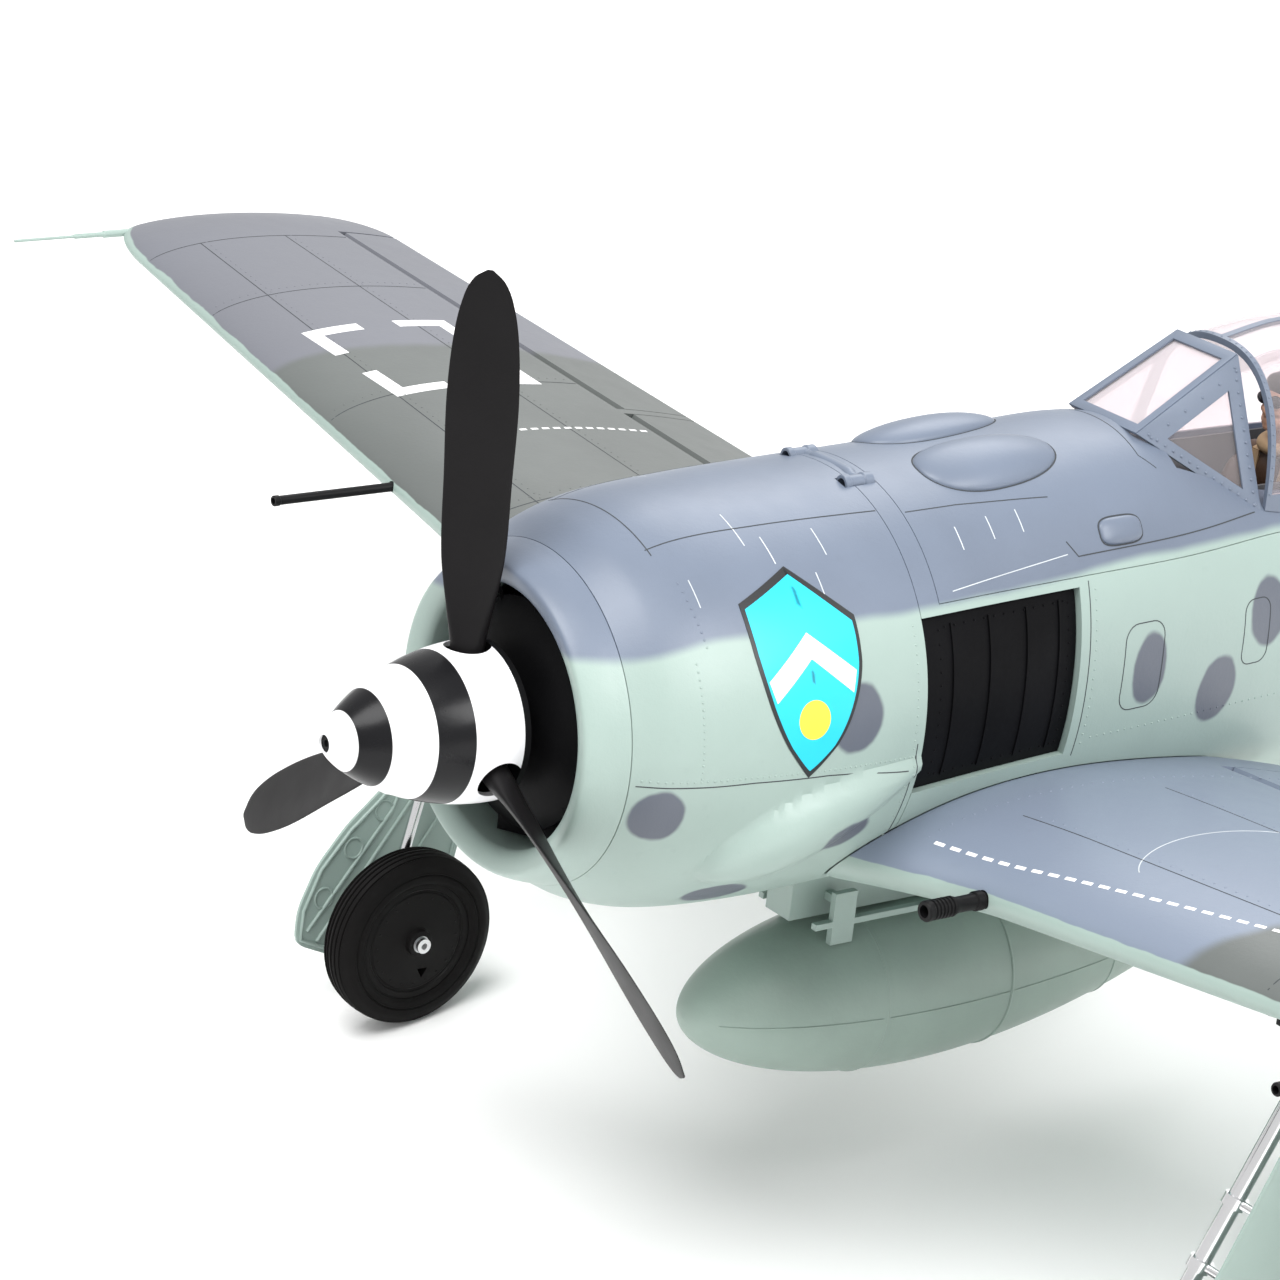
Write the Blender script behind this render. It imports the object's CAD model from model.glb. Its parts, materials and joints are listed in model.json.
"""Looks of a radio-controlled warbird on its wheels.

Shapes are drawn in the flight frame, in millimetres: nose tip at y = 0 on the thrust line, +Y aft,
+X to the port wing, +Z up. row() then stands them on the wheels, in metres.
"""

import math

import bmesh
import bpy
import numpy as np
from mathutils import Matrix, Vector
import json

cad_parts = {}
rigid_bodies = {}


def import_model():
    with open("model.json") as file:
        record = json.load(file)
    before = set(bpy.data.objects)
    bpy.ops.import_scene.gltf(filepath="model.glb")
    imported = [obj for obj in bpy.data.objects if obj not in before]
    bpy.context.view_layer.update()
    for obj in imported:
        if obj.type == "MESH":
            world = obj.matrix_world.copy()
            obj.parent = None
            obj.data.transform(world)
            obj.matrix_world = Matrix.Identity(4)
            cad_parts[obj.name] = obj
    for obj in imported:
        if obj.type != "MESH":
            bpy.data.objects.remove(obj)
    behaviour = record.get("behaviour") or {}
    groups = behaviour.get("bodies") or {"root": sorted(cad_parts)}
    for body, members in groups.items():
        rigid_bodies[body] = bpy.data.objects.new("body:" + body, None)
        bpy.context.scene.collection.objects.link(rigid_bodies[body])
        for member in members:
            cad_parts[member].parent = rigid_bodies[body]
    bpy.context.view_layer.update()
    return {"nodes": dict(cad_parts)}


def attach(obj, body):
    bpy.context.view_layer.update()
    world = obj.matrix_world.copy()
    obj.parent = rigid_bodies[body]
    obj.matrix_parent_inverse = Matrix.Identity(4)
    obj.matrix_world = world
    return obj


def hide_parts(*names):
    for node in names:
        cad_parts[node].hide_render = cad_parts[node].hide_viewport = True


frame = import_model()

PARKED = math.radians(10)
COS, SIN = math.cos(PARKED), math.sin(PARKED)
SHIFT_Y, SHIFT_Z = -634.35, 325.4467
PI = math.pi


def row(points):
    p = np.asarray(points, float)
    x, y, z = p[..., 0], p[..., 1], p[..., 2]
    return np.stack([x, y * COS + z * SIN + SHIFT_Y, -y * SIN + z * COS + SHIFT_Z], -1) / 1000


def row_dir(d):
    return Vector((d[0], d[1] * COS + d[2] * SIN, -d[1] * SIN + d[2] * COS))


# ---------------------------------------------------------------- shader language
class Q:
    """A number inside a material, so that patterns can be written as sums."""

    tree = None

    def __init__(self, socket):
        self.socket = socket

    def __add__(self, o):
        return calc("ADD", self, o)

    def __sub__(self, o):
        return calc("SUBTRACT", self, o)

    def __mul__(self, o):
        return calc("MULTIPLY", self, o)

    def __truediv__(self, o):
        return calc("DIVIDE", self, o)

    def __radd__(self, o):
        return calc("ADD", self, o)

    def __rmul__(self, o):
        return calc("MULTIPLY", self, o)

    def __rsub__(self, o):
        return calc("SUBTRACT", o, self)


def wire(value, socket):
    if isinstance(value, Q):
        Q.tree.links.new(value.socket, socket)
    else:
        socket.default_value = value


def calc(kind, *args):
    n = Q.tree.nodes.new("ShaderNodeMath")
    n.operation = kind
    for i, a in enumerate(args):
        wire(a, n.inputs[i])
    return Q(n.outputs[0])


def absolute(a):
    return calc("ABSOLUTE", a)


def most(a, b):
    return calc("MAXIMUM", a, b)


def rise(x, low, high):
    """0 below low, 1 above high, smooth between."""
    n = Q.tree.nodes.new("ShaderNodeMapRange")
    n.interpolation_type = "SMOOTHSTEP"
    wire(x, n.inputs["Value"])
    if low > high:
        low, high = high, low
        n.inputs["To Min"].default_value, n.inputs["To Max"].default_value = 1, 0
    n.inputs["From Min"].default_value, n.inputs["From Max"].default_value = low, high
    return Q(n.outputs["Result"])


def noise(scale, detail=3, offset=0.0):
    """Noise over the object, scale in waves a metre."""
    n = Q.tree.nodes.new("ShaderNodeTexNoise")
    n.noise_dimensions = "4D"
    n.inputs["W"].default_value = offset
    n.inputs["Scale"].default_value = scale
    n.inputs["Detail"].default_value = detail
    Q.tree.links.new(Q.place.socket, n.inputs["Vector"])
    return Q(n.outputs["Fac"])


def tint(mask, under, over):
    """under where mask is 0, over where it is 1. Colours are sockets or triples."""
    n = Q.tree.nodes.new("ShaderNodeMix")
    n.data_type = "RGBA"
    wire(mask, n.inputs["Factor"])
    for value, name in ((under, "A_Color"), (over, "B_Color")):
        socket = [s for s in n.inputs if s.identifier == name][0]
        if isinstance(value, Q):
            Q.tree.links.new(value.socket, socket)
        else:
            socket.default_value = (*value, 1)
    return Q([s for s in n.outputs if s.identifier == "Result_Color"][0])


def material(name):
    """A new material, with the language pointed at it. Returns it and its shader."""
    m = bpy.data.materials.new(name)
    m.use_nodes = True
    Q.tree = m.node_tree
    shader = Q.tree.nodes["Principled BSDF"]
    Q.place = Q(Q.tree.nodes.new("ShaderNodeTexCoord").outputs["Object"])
    return m, shader


def flight():
    """x, y, z in the flight frame, in millimetres, inside a material."""
    n = Q.tree.nodes.new("ShaderNodeSeparateXYZ")
    Q.tree.links.new(Q.place.socket, n.inputs[0])
    x, y, z = (Q(n.outputs[i]) * 1000.0 for i in range(3))
    dy, dz = y - SHIFT_Y, z - SHIFT_Z
    return x, dy * COS - dz * SIN, dy * SIN + dz * COS


def bumped(shader, height, depth):
    """Adds fine relief; height is a number from 0 to 1 and depth is in metres."""
    n = Q.tree.nodes.new("ShaderNodeBump")
    n.inputs["Distance"].default_value = depth
    n.inputs["Strength"].default_value = 1.0
    Q.tree.links.new(height.socket, n.inputs["Height"])
    Q.tree.links.new(n.outputs[0], shader.inputs["Normal"])


def plain(name, colour, rough=0.5, metal=0.0, grain=900, depth=0.00004, vary=0.12, **more):
    """A material of one colour with mottling, uneven gloss and fine relief."""
    m, s = material(name)
    dark = tuple(c * (1 - vary) for c in colour)
    light = tuple(min(1, c * (1 + vary)) for c in colour)
    wire(tint(rise(noise(22, 4), 0.3, 0.7), dark, light), s.inputs["Base Color"])
    s.inputs["Metallic"].default_value = metal
    wire(noise(60, 3, 2.0) * 0.16 + (rough - 0.08), s.inputs["Roughness"])
    bumped(s, noise(grain, 2, 5.0), depth)
    for key, value in more.items():
        s.inputs[key.replace("_", " ")].default_value = value
    return m


SLATE = (0.124, 0.152, 0.204)
SPOT = (0.075, 0.083, 0.112)
OLIVE = (0.098, 0.108, 0.104)
MINT = (0.285, 0.368, 0.335)
WHITE = (0.86, 0.86, 0.86)


def spot(y, z, cy, cz, ry, rz, warp):
    """Soft-edged round patch seen from the side."""
    dy, dz = (y - cy) / ry, (z - cz) / rz
    return rise(calc("SQRT", dy * dy + dz * dz) + warp, 1.08, 0.9)


SPOTS = [
    (213, 16, 15, 16), (119, -20, 11, 13), (217, -41, 17, 10), (170, -72, 16, 7), (404, 9, 11, 18),
    (455, -12, 13, 17), (486, 23, 13, 17), (548, -24, 15, 13), (560, 26, 12, 15), (622, 2, 16, 13),
    (655, -38, 14, 11), (690, 22, 13, 14), (742, -14, 15, 12), (800, 20, 14, 11), (846, -22, 14, 10),
    (905, 10, 14, 10), (960, -12, 13, 8), (1010, 18, 13, 9), (1075, 2, 12, 8), (1125, 26, 11, 7),
]


def clouded(colour, pattern, low, high):
    """A colour that drifts between two strengths over the surface."""
    return tint(rise(pattern, 0.3, 0.7), tuple(c * low for c in colour), tuple(c * high for c in colour))


def painted(name, kind):
    """Camouflage paint of the body, wing or tail."""
    m, s = material(name)
    x, y, z = flight()
    soft = noise(38, 3) - 0.5
    mint = clouded(MINT, noise(9, 4), 0.95, 1.04)
    slate = clouded(SLATE, noise(11, 4, 3.0), 0.93, 1.07)
    olive = clouded(OLIVE, noise(11, 4, 7.0), 0.93, 1.07)
    if kind == "body":
        drift = (noise(16, 2) - 0.5) * 7.0
        edge = 55.5 - 11 * rise(y, 150, 100) + 4 * rise(y, 300, 400) - 10 * rise(y, 440, 720) \
            - 6 * rise(y, 800, 1150) + drift
        upper = rise(z - edge, -2.4, 2.4)
        colour = mint
        warp = soft * 0.5
        patches = spot(y, z, *SPOTS[0], warp)
        for p in SPOTS[1:]:
            patches = most(patches, spot(y, z, *p, warp))
        colour = tint(patches * 0.95, colour, SPOT)
        colour = tint(upper, colour, slate)
    elif kind == "wing":
        far = absolute(x)
        port = rise(x, -1, 1)
        slant = (y - 290) * 0.33
        green_port = rise(x - slant - 262 + soft * 8, -5, 5) * rise(x - slant - 520 + soft * 8, 5, -5)
        green_star = rise(-1 * x - 512 + (y - 380) * 0.12 + soft * 8, 5, -5)
        green = green_port * port + green_star * (1 - port)
        slate = tint(port * 0.85, slate, (0.172, 0.206, 0.268))
        slate = tint((1 - port) * 0.8, slate, (0.140, 0.140, 0.155))
        colour = tint(green, slate, olive)
        level = z + 71.6 - far * 0.0955
        near = rise(y - 0.1 * far, 290, 250)
        under = rise(level + near * (soft * 3.0 - 3.4), 0.3, -0.3)
        colour = tint(under, colour, mint)
    elif kind == "tail":
        colour = tint(rise(absolute(x) + (y - 1100) * 0.6 - 120 + soft * 10, -5, 5), slate, olive)
        colour = tint(rise(z - 40.4, 1, -1), colour, mint)
    elif kind == "fin":
        band = rise(z - 96 + (y - 1150) * 0.25 + soft * 16, -7, 7)
        colour = tint(band, mint, slate)
        for p in ((1120, 70, 9, 8), (1165, 62, 9, 9), (1232, 60, 10, 10), (1225, 20, 9, 8)):
            colour = tint(spot(y, z, *p, soft * 0.5) * 0.85, colour, SLATE)
    elif kind == "slate":
        colour = slate
    else:
        colour = mint
    grime = rise(noise(140, 4, 9.0), 0.60, 0.78) * 0.05
    colour = tint(grime, colour, (0.06, 0.065, 0.07))
    wire(colour, s.inputs["Base Color"])
    wire(noise(70, 3, 4.0) * 0.14 + 0.36, s.inputs["Roughness"])
    s.inputs["Coat Weight"].default_value = 0.12
    s.inputs["Coat Roughness"].default_value = 0.35
    bumped(s, noise(420, 2, 6.0) * 0.6 + noise(1500, 1, 8.0) * 0.4, 0.00011)
    return m


M_BODY = painted("paint_body", "body")
M_WING = painted("paint_wing", "wing")
M_TAIL = painted("paint_tail", "tail")
M_FIN = painted("paint_fin", "fin")
M_SLATE = painted("paint_slate", "slate")
M_MINT = painted("paint_mint", "mint")
M_TANK = plain("tank_paint", (0.255, 0.330, 0.290), 0.42, grain=500, depth=0.00008, vary=0.06)
M_SEAM = plain("seam_shadow", (0.035, 0.04, 0.045), 0.8)
M_WORN = plain("worn_edge", (0.5, 0.53, 0.55), 0.6)
M_BLACK = plain("satin_black", (0.006, 0.006, 0.0065), 0.45, grain=700, depth=0.00006, vary=0.2,
                Specular_IOR_Level=0.12)
M_PANEL = plain("soot_black", (0.0035, 0.0035, 0.0042), 0.5, grain=300, depth=0.0001, vary=0.25,
                Specular_IOR_Level=0.06)
M_BLADE = plain("blade_black", (0.0075, 0.007, 0.0075), 0.42, grain=1200, depth=0.00003, vary=0.1,
                Specular_IOR_Level=0.12)
M_TYRE = plain("tyre_rubber", (0.006, 0.0055, 0.0055), 0.58, grain=1500, depth=0.00008, vary=0.2,
               Specular_IOR_Level=0.08)
M_HUB = plain("hub_plastic", (0.0065, 0.006, 0.006), 0.46, grain=900, depth=0.00005, vary=0.15,
              Specular_IOR_Level=0.1)
M_CHROME = plain("polished_steel", (0.78, 0.78, 0.79), 0.16, 1.0, grain=2500, depth=0.00001, vary=0.03)
M_STEEL = plain("machined_alloy", (0.58, 0.59, 0.6), 0.34, 1.0, grain=2200, depth=0.00002, vary=0.06)
M_PLY = plain("plywood", (0.42, 0.29, 0.16), 0.6, grain=260, depth=0.0002, vary=0.25)
M_ENGINE = plain("engine_black", (0.0045, 0.0045, 0.005), 0.5, grain=800, depth=0.00006, vary=0.25,
                 Specular_IOR_Level=0.05)
M_PIT = plain("cockpit_grey", (0.075, 0.08, 0.085), 0.6, grain=900, depth=0.00005, vary=0.2)
M_WHITE = plain("white_paint", WHITE, 0.32, grain=900, depth=0.00003, vary=0.02)
M_CYAN = plain("cyan_paint", (0.012, 0.50, 0.66), 0.38, grain=900, depth=0.00003, vary=0.04)
M_YELLOW = plain("yellow_paint", (0.86, 0.63, 0.05), 0.38, grain=900, depth=0.00003, vary=0.04)
M_DECAL_BLACK = plain("decal_black", (0.012, 0.013, 0.014), 0.4, grain=900, depth=0.00003, vary=0.1)
M_WRAP = plain("battery_wrap", (0.02, 0.06, 0.22), 0.3, grain=400, depth=0.00006)
M_SKIN = plain("figure_skin", (0.52, 0.30, 0.20), 0.55, grain=1100, depth=0.00004, vary=0.08)
M_LEATHER = plain("brown_leather", (0.085, 0.047, 0.026), 0.5, grain=1300, depth=0.00012, vary=0.3)
M_STRAP = plain("tan_webbing", (0.42, 0.30, 0.17), 0.75, grain=2600, depth=0.0001, vary=0.15)
M_HELMET = plain("helmet_black", (0.016, 0.014, 0.014), 0.36, grain=900, depth=0.00008, vary=0.3)
M_LENS = plain("goggle_glass", (0.02, 0.02, 0.025), 0.08, vary=0.05)


def spinner_paint():
    """White cone with two black bands."""
    m, s = material("spinner_paint")
    x, y, z = flight()
    band = rise(y, 8.7, 9.1) * rise(y, 21.2, 20.8) + rise(y, 38.8, 39.2) * rise(y, 55.7, 55.3)
    white = tint(rise(noise(14, 3), 0.3, 0.7), (0.82, 0.82, 0.84), (0.88, 0.88, 0.89))
    wire(tint(band, white, (0.005, 0.005, 0.006)), s.inputs["Base Color"])
    wire(noise(60, 3, 2.0) * 0.12 + 0.2, s.inputs["Roughness"])
    s.inputs["Specular IOR Level"].default_value = 0.2
    bumped(s, noise(500, 2, 5.0), 0.00003)
    return m


def clear_pane():
    m, s = material("clear_pane")
    tree = Q.tree
    wire(tint(noise(8, 2), (0.90, 0.86, 0.88), (0.95, 0.92, 0.93)), s.inputs["Base Color"])
    wire(noise(40, 2, 1.0) * 0.03 + 0.02, s.inputs["Roughness"])
    s.inputs["IOR"].default_value = 1.46
    see = tree.nodes.new("ShaderNodeBsdfTransparent")
    see.inputs["Color"].default_value = (0.90, 0.87, 0.88, 1)
    mix = tree.nodes.new("ShaderNodeMixShader")
    rim = tree.nodes.new("ShaderNodeLayerWeight")
    rim.inputs["Blend"].default_value = 0.22
    edge = Q(rim.outputs["Fresnel"]) * 0.55 + 0.07
    wire(edge, mix.inputs[0])
    tree.links.new(see.outputs[0], mix.inputs[1])
    tree.links.new(s.outputs[0], mix.inputs[2])
    tree.links.new(mix.outputs[0], tree.nodes["Material Output"].inputs["Surface"])
    return m


M_SPINNER = spinner_paint()
M_CLEAR = clear_pane()


# ---------------------------------------------------------------- mesh helpers
def temp(verts, faces, matrix=None):
    """A scratch solid in flight-frame millimetres, with its faces turned outwards."""
    me = bpy.data.meshes.new("scratch")
    me.from_pydata([tuple(float(c) for c in v) for v in verts], [], faces)
    bm = bmesh.new()
    bm.from_mesh(me)
    bmesh.ops.remove_doubles(bm, verts=bm.verts, dist=1e-4)
    bmesh.ops.recalc_face_normals(bm, faces=bm.faces)
    bmesh.ops.triangulate(bm, faces=[f for f in bm.faces if len(f.verts) > 4])
    if bm.calc_volume(signed=True) < 0:
        bmesh.ops.reverse_faces(bm, faces=bm.faces)
    bm.to_mesh(me)
    bm.free()
    ob = bpy.data.objects.new("scratch", me)
    bpy.context.collection.objects.link(ob)
    if matrix is not None:
        ob.data.transform(matrix)
    return ob


def drop(ob):
    me = ob.data
    bpy.data.objects.remove(ob)
    if me.users == 0:
        bpy.data.meshes.remove(me)


def combine(base, others, kind="DIFFERENCE"):
    """Boolean of scratch solids. The others are used up."""
    for o in others:
        mod = base.modifiers.new("b", "BOOLEAN")
        mod.operation = kind
        mod.object = o
        mod.solver = "MANIFOLD"
    graph = bpy.context.evaluated_depsgraph_get()
    me = bpy.data.meshes.new_from_object(base.evaluated_get(graph))
    base.modifiers.clear()
    old = base.data
    base.data = me
    bpy.data.meshes.remove(old)
    for o in others:
        drop(o)
    return base


def finished(ob, name, mat, body, nodes=(), sharp=32, bevel=0.0):
    """Turns a scratch solid into a piece of the object."""
    if bevel:
        mod = ob.modifiers.new("bevel", "BEVEL")
        mod.width = bevel
        mod.segments = 2
        mod.limit_method = "ANGLE"
        mod.angle_limit = math.radians(35)
        graph = bpy.context.evaluated_depsgraph_get()
        me = bpy.data.meshes.new_from_object(ob.evaluated_get(graph))
        ob.modifiers.clear()
        ob.data = me
    me = ob.data
    n = len(me.vertices)
    co = np.empty(n * 3)
    me.vertices.foreach_get("co", co)
    me.vertices.foreach_set("co", row(co.reshape(-1, 3)).ravel())
    me.materials.clear()
    me.materials.append(mat)
    me.shade_smooth()
    me.set_sharp_from_angle(angle=math.radians(sharp))
    me.update()
    ob.name = name
    me.name = name
    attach(ob, body)
    for node in nodes:
        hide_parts(node)
    return ob


def piece(name, verts, faces, mat, body, nodes=(), sharp=32, bevel=0.0):
    return finished(temp(verts, faces), name, mat, body, nodes, sharp, bevel)


def loft(rings, closed=True):
    """Points and faces of a solid through rings, with flat ends."""
    n = len(rings[0])
    verts = [p for r in rings for p in r]
    faces = []
    for i in range(len(rings) - 1):
        for k in range(n):
            a, b = i * n + k, i * n + (k + 1) % n
            faces.append((a, b, b + n, a + n))
    if closed:
        faces.append(tuple(range(n))[::-1])
        faces.append(tuple((len(rings) - 1) * n + k for k in range(n)))
    return verts, faces


def lathe(profile, steps=96, origin=(0, 0, 0), axis="y"):
    """Solid of revolution. The profile holds (radius, distance along the axis) and closes on itself."""
    verts, faces = [], []
    n = len(profile)
    for i in range(steps):
        a = 2 * PI * i / steps
        for r, t in profile:
            c, s = max(r, 1e-4) * math.cos(a), max(r, 1e-4) * math.sin(a)
            p = {"y": (c, t, s), "x": (t, c, s), "z": (c, s, t)}[axis]
            verts.append(tuple(p[j] + origin[j] for j in range(3)))
    for i in range(steps):
        for k in range(n):
            a, b = i * n + k, i * n + (k + 1) % n
            c, d = ((i + 1) % steps) * n + k, ((i + 1) % steps) * n + (k + 1) % n
            faces.append((a, b, d, c))
    return verts, faces


def tube(points, radius, sides=12):
    """Round bar along points."""
    pts = [Vector(p) for p in points]
    rings = []
    side = None
    for i, p in enumerate(pts):
        along = (pts[min(i + 1, len(pts) - 1)] - pts[max(i - 1, 0)]).normalized()
        if side is None:
            side = along.cross(Vector((0, 0, 1)))
            if side.length < 0.1:
                side = along.cross(Vector((1, 0, 0)))
        side = (side - along * side.dot(along)).normalized()
        up = along.cross(side)
        r = radius[i] if isinstance(radius, (list, tuple)) else radius
        rings.append([tuple(p + (side * math.cos(a) + up * math.sin(a)) * r)
                      for a in (2 * PI * k / sides for k in range(sides))])
    return loft(rings)


def block(lo, hi):
    x0, y0, z0 = lo
    x1, y1, z1 = hi
    v = [(x, y, z) for x in (x0, x1) for y in (y0, y1) for z in (z0, z1)]
    f = [(0, 1, 3, 2), (4, 6, 7, 5), (0, 4, 5, 1), (2, 3, 7, 6), (0, 2, 6, 4), (1, 5, 7, 3)]
    return v, f


def joined(parts):
    """Several (points, faces) as one."""
    verts, faces = [], []
    for v, f in parts:
        base = len(verts)
        verts += [tuple(p) for p in v]
        faces += [tuple(i + base for i in q) for q in f]
    return verts, faces


def moved(part, matrix):
    v, f = part
    return [tuple(matrix @ Vector(p)) for p in v], f


def rivets(name, places, body, mat, r=0.55, high=0.28):
    """Domes at places, a list of (point, outward direction)."""
    parts = []
    for p, n in places:
        n = Vector(n).normalized()
        side = n.orthogonal().normalized()
        up = n.cross(side)
        p = Vector(p) - n * 0.08
        ring = lambda rr, h: [tuple(p + (side * math.cos(a) + up * math.sin(a)) * rr + n * h)
                              for a in (2 * PI * k / 8 for k in range(8))]
        v, f = loft([ring(r, 0), ring(r * 0.86, (high + 0.08) * 0.6), ring(r * 0.45, high + 0.08)])
        parts.append((v, f))
    if parts:
        return piece(name, *joined(parts), mat, body, sharp=70)


# ---------------------------------------------------------------- shapes shared with the design
BODY = [
    [105.5, 77, 77, -77, 2, 0], [122, 86.5, 86.5, -86.5, 2, 0], [148, 93.5, 93.5, -93.5, 2, 0],
    [190, 96.5, 96.5, -96.5, 2.02, 0], [240, 94, 98.5, -96.5, 2.05, 1], [305, 86, 101, -95, 2.1, 3],
    [360, 80, 104, -95, 2.15, 4], [424, 75, 105, -95, 2.15, 4], [500, 68, 84, -93, 2.15, 4],
    [600, 63, 84, -88, 2.15, 4], [700, 56, 80, -78, 2.15, 4], [800, 48.5, 76, -66, 2.15, 5],
    [900, 40, 71.5, -54, 2.15, 6], [1000, 31, 66, -42, 2.1, 8], [1100, 21, 60, -31, 2.1, 12],
    [1200, 9, 53, -21, 2, 16],
]
CANOPY = [
    [493.5, 47.5, 66, 138], [530, 48, 65, 144], [580, 46.5, 65, 142], [630, 41, 66, 129],
    [675, 34, 70, 110], [705, 26, 75, 95], [735, 12, 79, 83],
]


def smooth(table, y, c):
    i = max([k for k in range(len(table) - 1) if k == 0 or table[k][0] <= y])

    def slope(j):
        a, b = max(0, j - 1), min(len(table) - 1, j + 1)
        return (table[b][c] - table[a][c]) / (table[b][0] - table[a][0])

    h = table[i + 1][0] - table[i][0]
    t = min(1, max(0, (y - table[i][0]) / h))
    t2, t3 = t * t, t * t * t
    return (table[i][c] * (2 * t3 - 3 * t2 + 1) + table[i + 1][c] * (3 * t2 - 2 * t3)
            + h * slope(i) * (t3 - 2 * t2 + t) + h * slope(i + 1) * (t3 - t2))


def spow(v, p):
    return math.copysign(abs(v) ** p, v)


def mix(a, b, t):
    return a + (b - a) * t


def span(a, b, n):
    return [mix(a, b, i / n) for i in range(n + 1)]


def swell(x, y, z):
    """How far the skin bulges at a point: one long fairing low on each side of the cowl."""
    t = (y - 147) / 111
    if not 0 < t < 1 or z > 0:
        return 0.0
    w = math.sqrt(1 - ((0.34 - t) / 0.34) ** 2) if t < 0.34 else 1 - 0.85 * ((t - 0.34) / 0.66) ** 1.6
    s = (z + 50 - (y - 147) * 0.34) / (20 * w)
    return 11.0 * w * (1 - s * s) ** 0.8 if abs(s) < 1 else 0.0


def body_point(y, a, inset=0.0, bulge=True):
    w = smooth(BODY, y, 1) - inset
    level = smooth(BODY, y, 5)
    top = smooth(BODY, y, 2) - inset - level
    bottom = level - smooth(BODY, y, 3) - inset
    p = 2 / smooth(BODY, y, 4)
    s = math.sin(a)
    x = w * spow(math.cos(a), p)
    z = level + spow(s, p) * (top if s > 0 else bottom)
    if bulge:
        h = swell(x, y, z)
        if h:
            d = math.hypot(x, z - level)
            x, z = x + x / d * h, z + (z - level) / d * h
    return (x, y, z)


def body_ring(y, inset=0.0, n=160, bulge=True):
    return [body_point(y, 2 * PI * k / n, inset, bulge) for k in range(n)]


def body_solid(lo, hi, inset=0.0, steps=60, n=160, bulge=True):
    return temp(*loft([body_ring(y, inset, n, bulge) for y in span(lo, hi, steps)]))


def body_side(y, z, side=1, out=0.0):
    """Point on the skin at a station and height, and the outward direction."""
    level = smooth(BODY, y, 5)
    lo, hi = (0, PI / 2) if z >= level else (-PI / 2, 0)
    for _ in range(30):
        m = (lo + hi) / 2
        if body_point(y, m)[2] < z:
            lo = m
        else:
            hi = m
    return place_on(y, (lo + hi) / 2, side, out)


def body_top(x, y, out=0.0):
    """Point on the upper skin at x, y, and the outward direction."""
    lo, hi = 0, PI / 2
    for _ in range(30):
        m = (lo + hi) / 2
        if body_point(y, m)[0] > abs(x):
            lo = m
        else:
            hi = m
    return place_on(y, (lo + hi) / 2, 1 if x >= 0 else -1, out)


def place_on(y, a, side, out):
    p = Vector(body_point(y, a))
    u = Vector(body_point(y, a + 0.01)) - Vector(body_point(y, a - 0.01))
    v = Vector(body_point(y + 0.5, a)) - Vector(body_point(y - 0.5, a))
    n = u.cross(v).normalized()
    if n.dot(Vector((p.x, 0, p.z))) < 0:
        n = -n
    p = p + n * out
    return Vector((p.x * side, p.y, p.z)), Vector((n.x * side, n.y, n.z))


def extension(x):
    return min(1, max(0, (150 - x) / 90)) ** 1.6


def tip_round(x):
    return 1 - math.sqrt(1 - min(min(1, max(0, (x - 700) / 50)), 0.995) ** 2)


def wing_facts(x):
    nose = 242.8 + 0.1 * x - 20 * extension(x) + 22 * tip_round(x)
    tail = 242.8 + 0.1 * x + mix(283, 174, x / 735) - 46 * tip_round(x)
    return nose, tail - nose, mix(0.165, 0.10, x / 735) * (1 - 0.75 * tip_round(x)), -71.6 + 0.0955 * x


def half_depth(u):
    return 5 * (0.2969 * math.sqrt(max(u,
                                       0)) - 0.126 * u - 0.3516 * u * u + 0.2843 * u ** 3 - 0.1036 * u ** 4)


def wing_ring(x, grow=0.0, points=46):
    nose, c, t, level = wing_facts(x)
    ring = []
    for k in range(points + 1):
        u = (1 - k / points) ** 2
        ring.append((x, nose - grow + (c + 2 * grow) * u,
                     level + c * (0.088 * u * (1 - u) + t * half_depth(u)) + grow + 0.5 * u))
    for k in range(1, points + 1):
        u = (k / points) ** 2
        ring.append((x, nose - grow + (c + 2 * grow) * u,
                     level + c * (0.088 * u * (1 - u) - t * half_depth(u)) - grow - 0.5 * u))
    return ring


WING_X = span(60, 150, 18) + span(160, 700, 54) + [706, 712, 718, 724, 729, 734, 738, 741.5, 744, 746,
                                                   747.6, 748.6, 749.5]


def wing_solid(grow=0.0):
    return temp(*loft([wing_ring(x, grow) for x in WING_X]))


def wing_top(x, y, out=0.0, side=1):
    """Point on the upper (or, with side -1, lower) surface of the port wing, and the outward direction."""
    def at(px, py):
        nose, c, t, level = wing_facts(abs(px))
        u = min(1, max(0, (py - nose) / c))
        return Vector((px, py, level + c * (0.088 * u * (1 - u) + side * t * half_depth(u)) + side * 0.5 * u))

    p = at(x, y)
    n = (at(x + 0.5, y) - at(x - 0.5, y)).cross(at(x, y + 0.5) - at(x, y - 0.5)).normalized()
    if n.z * side < 0:
        n = -n
    return p + n * out, n


def hinge_y(x):
    return 242.8 + 0.1 * x + 0.77 * mix(283, 174, x / 735)


def hinge_point(x):
    return Vector((x, hinge_y(x), -71.6 + 0.0955 * x + 0.6))


def turned_from(a, b):
    """Matrix whose local Z runs from a to b, local X down and local Y aft."""
    d = Vector(b) - Vector(a)
    return (Matrix.Translation(Vector(a)) @ Matrix.Rotation(math.atan2(d.y, d.x), 4, "Z")
            @ Matrix.Rotation(math.acos(d.z / d.length), 4, "Y"))


def circle(r, n):
    """Outline of a circle, as n points in a plane."""
    return [(r * math.cos(a), r * math.sin(a)) for a in span(0, 2 * PI, n)[:-1]]


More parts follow.
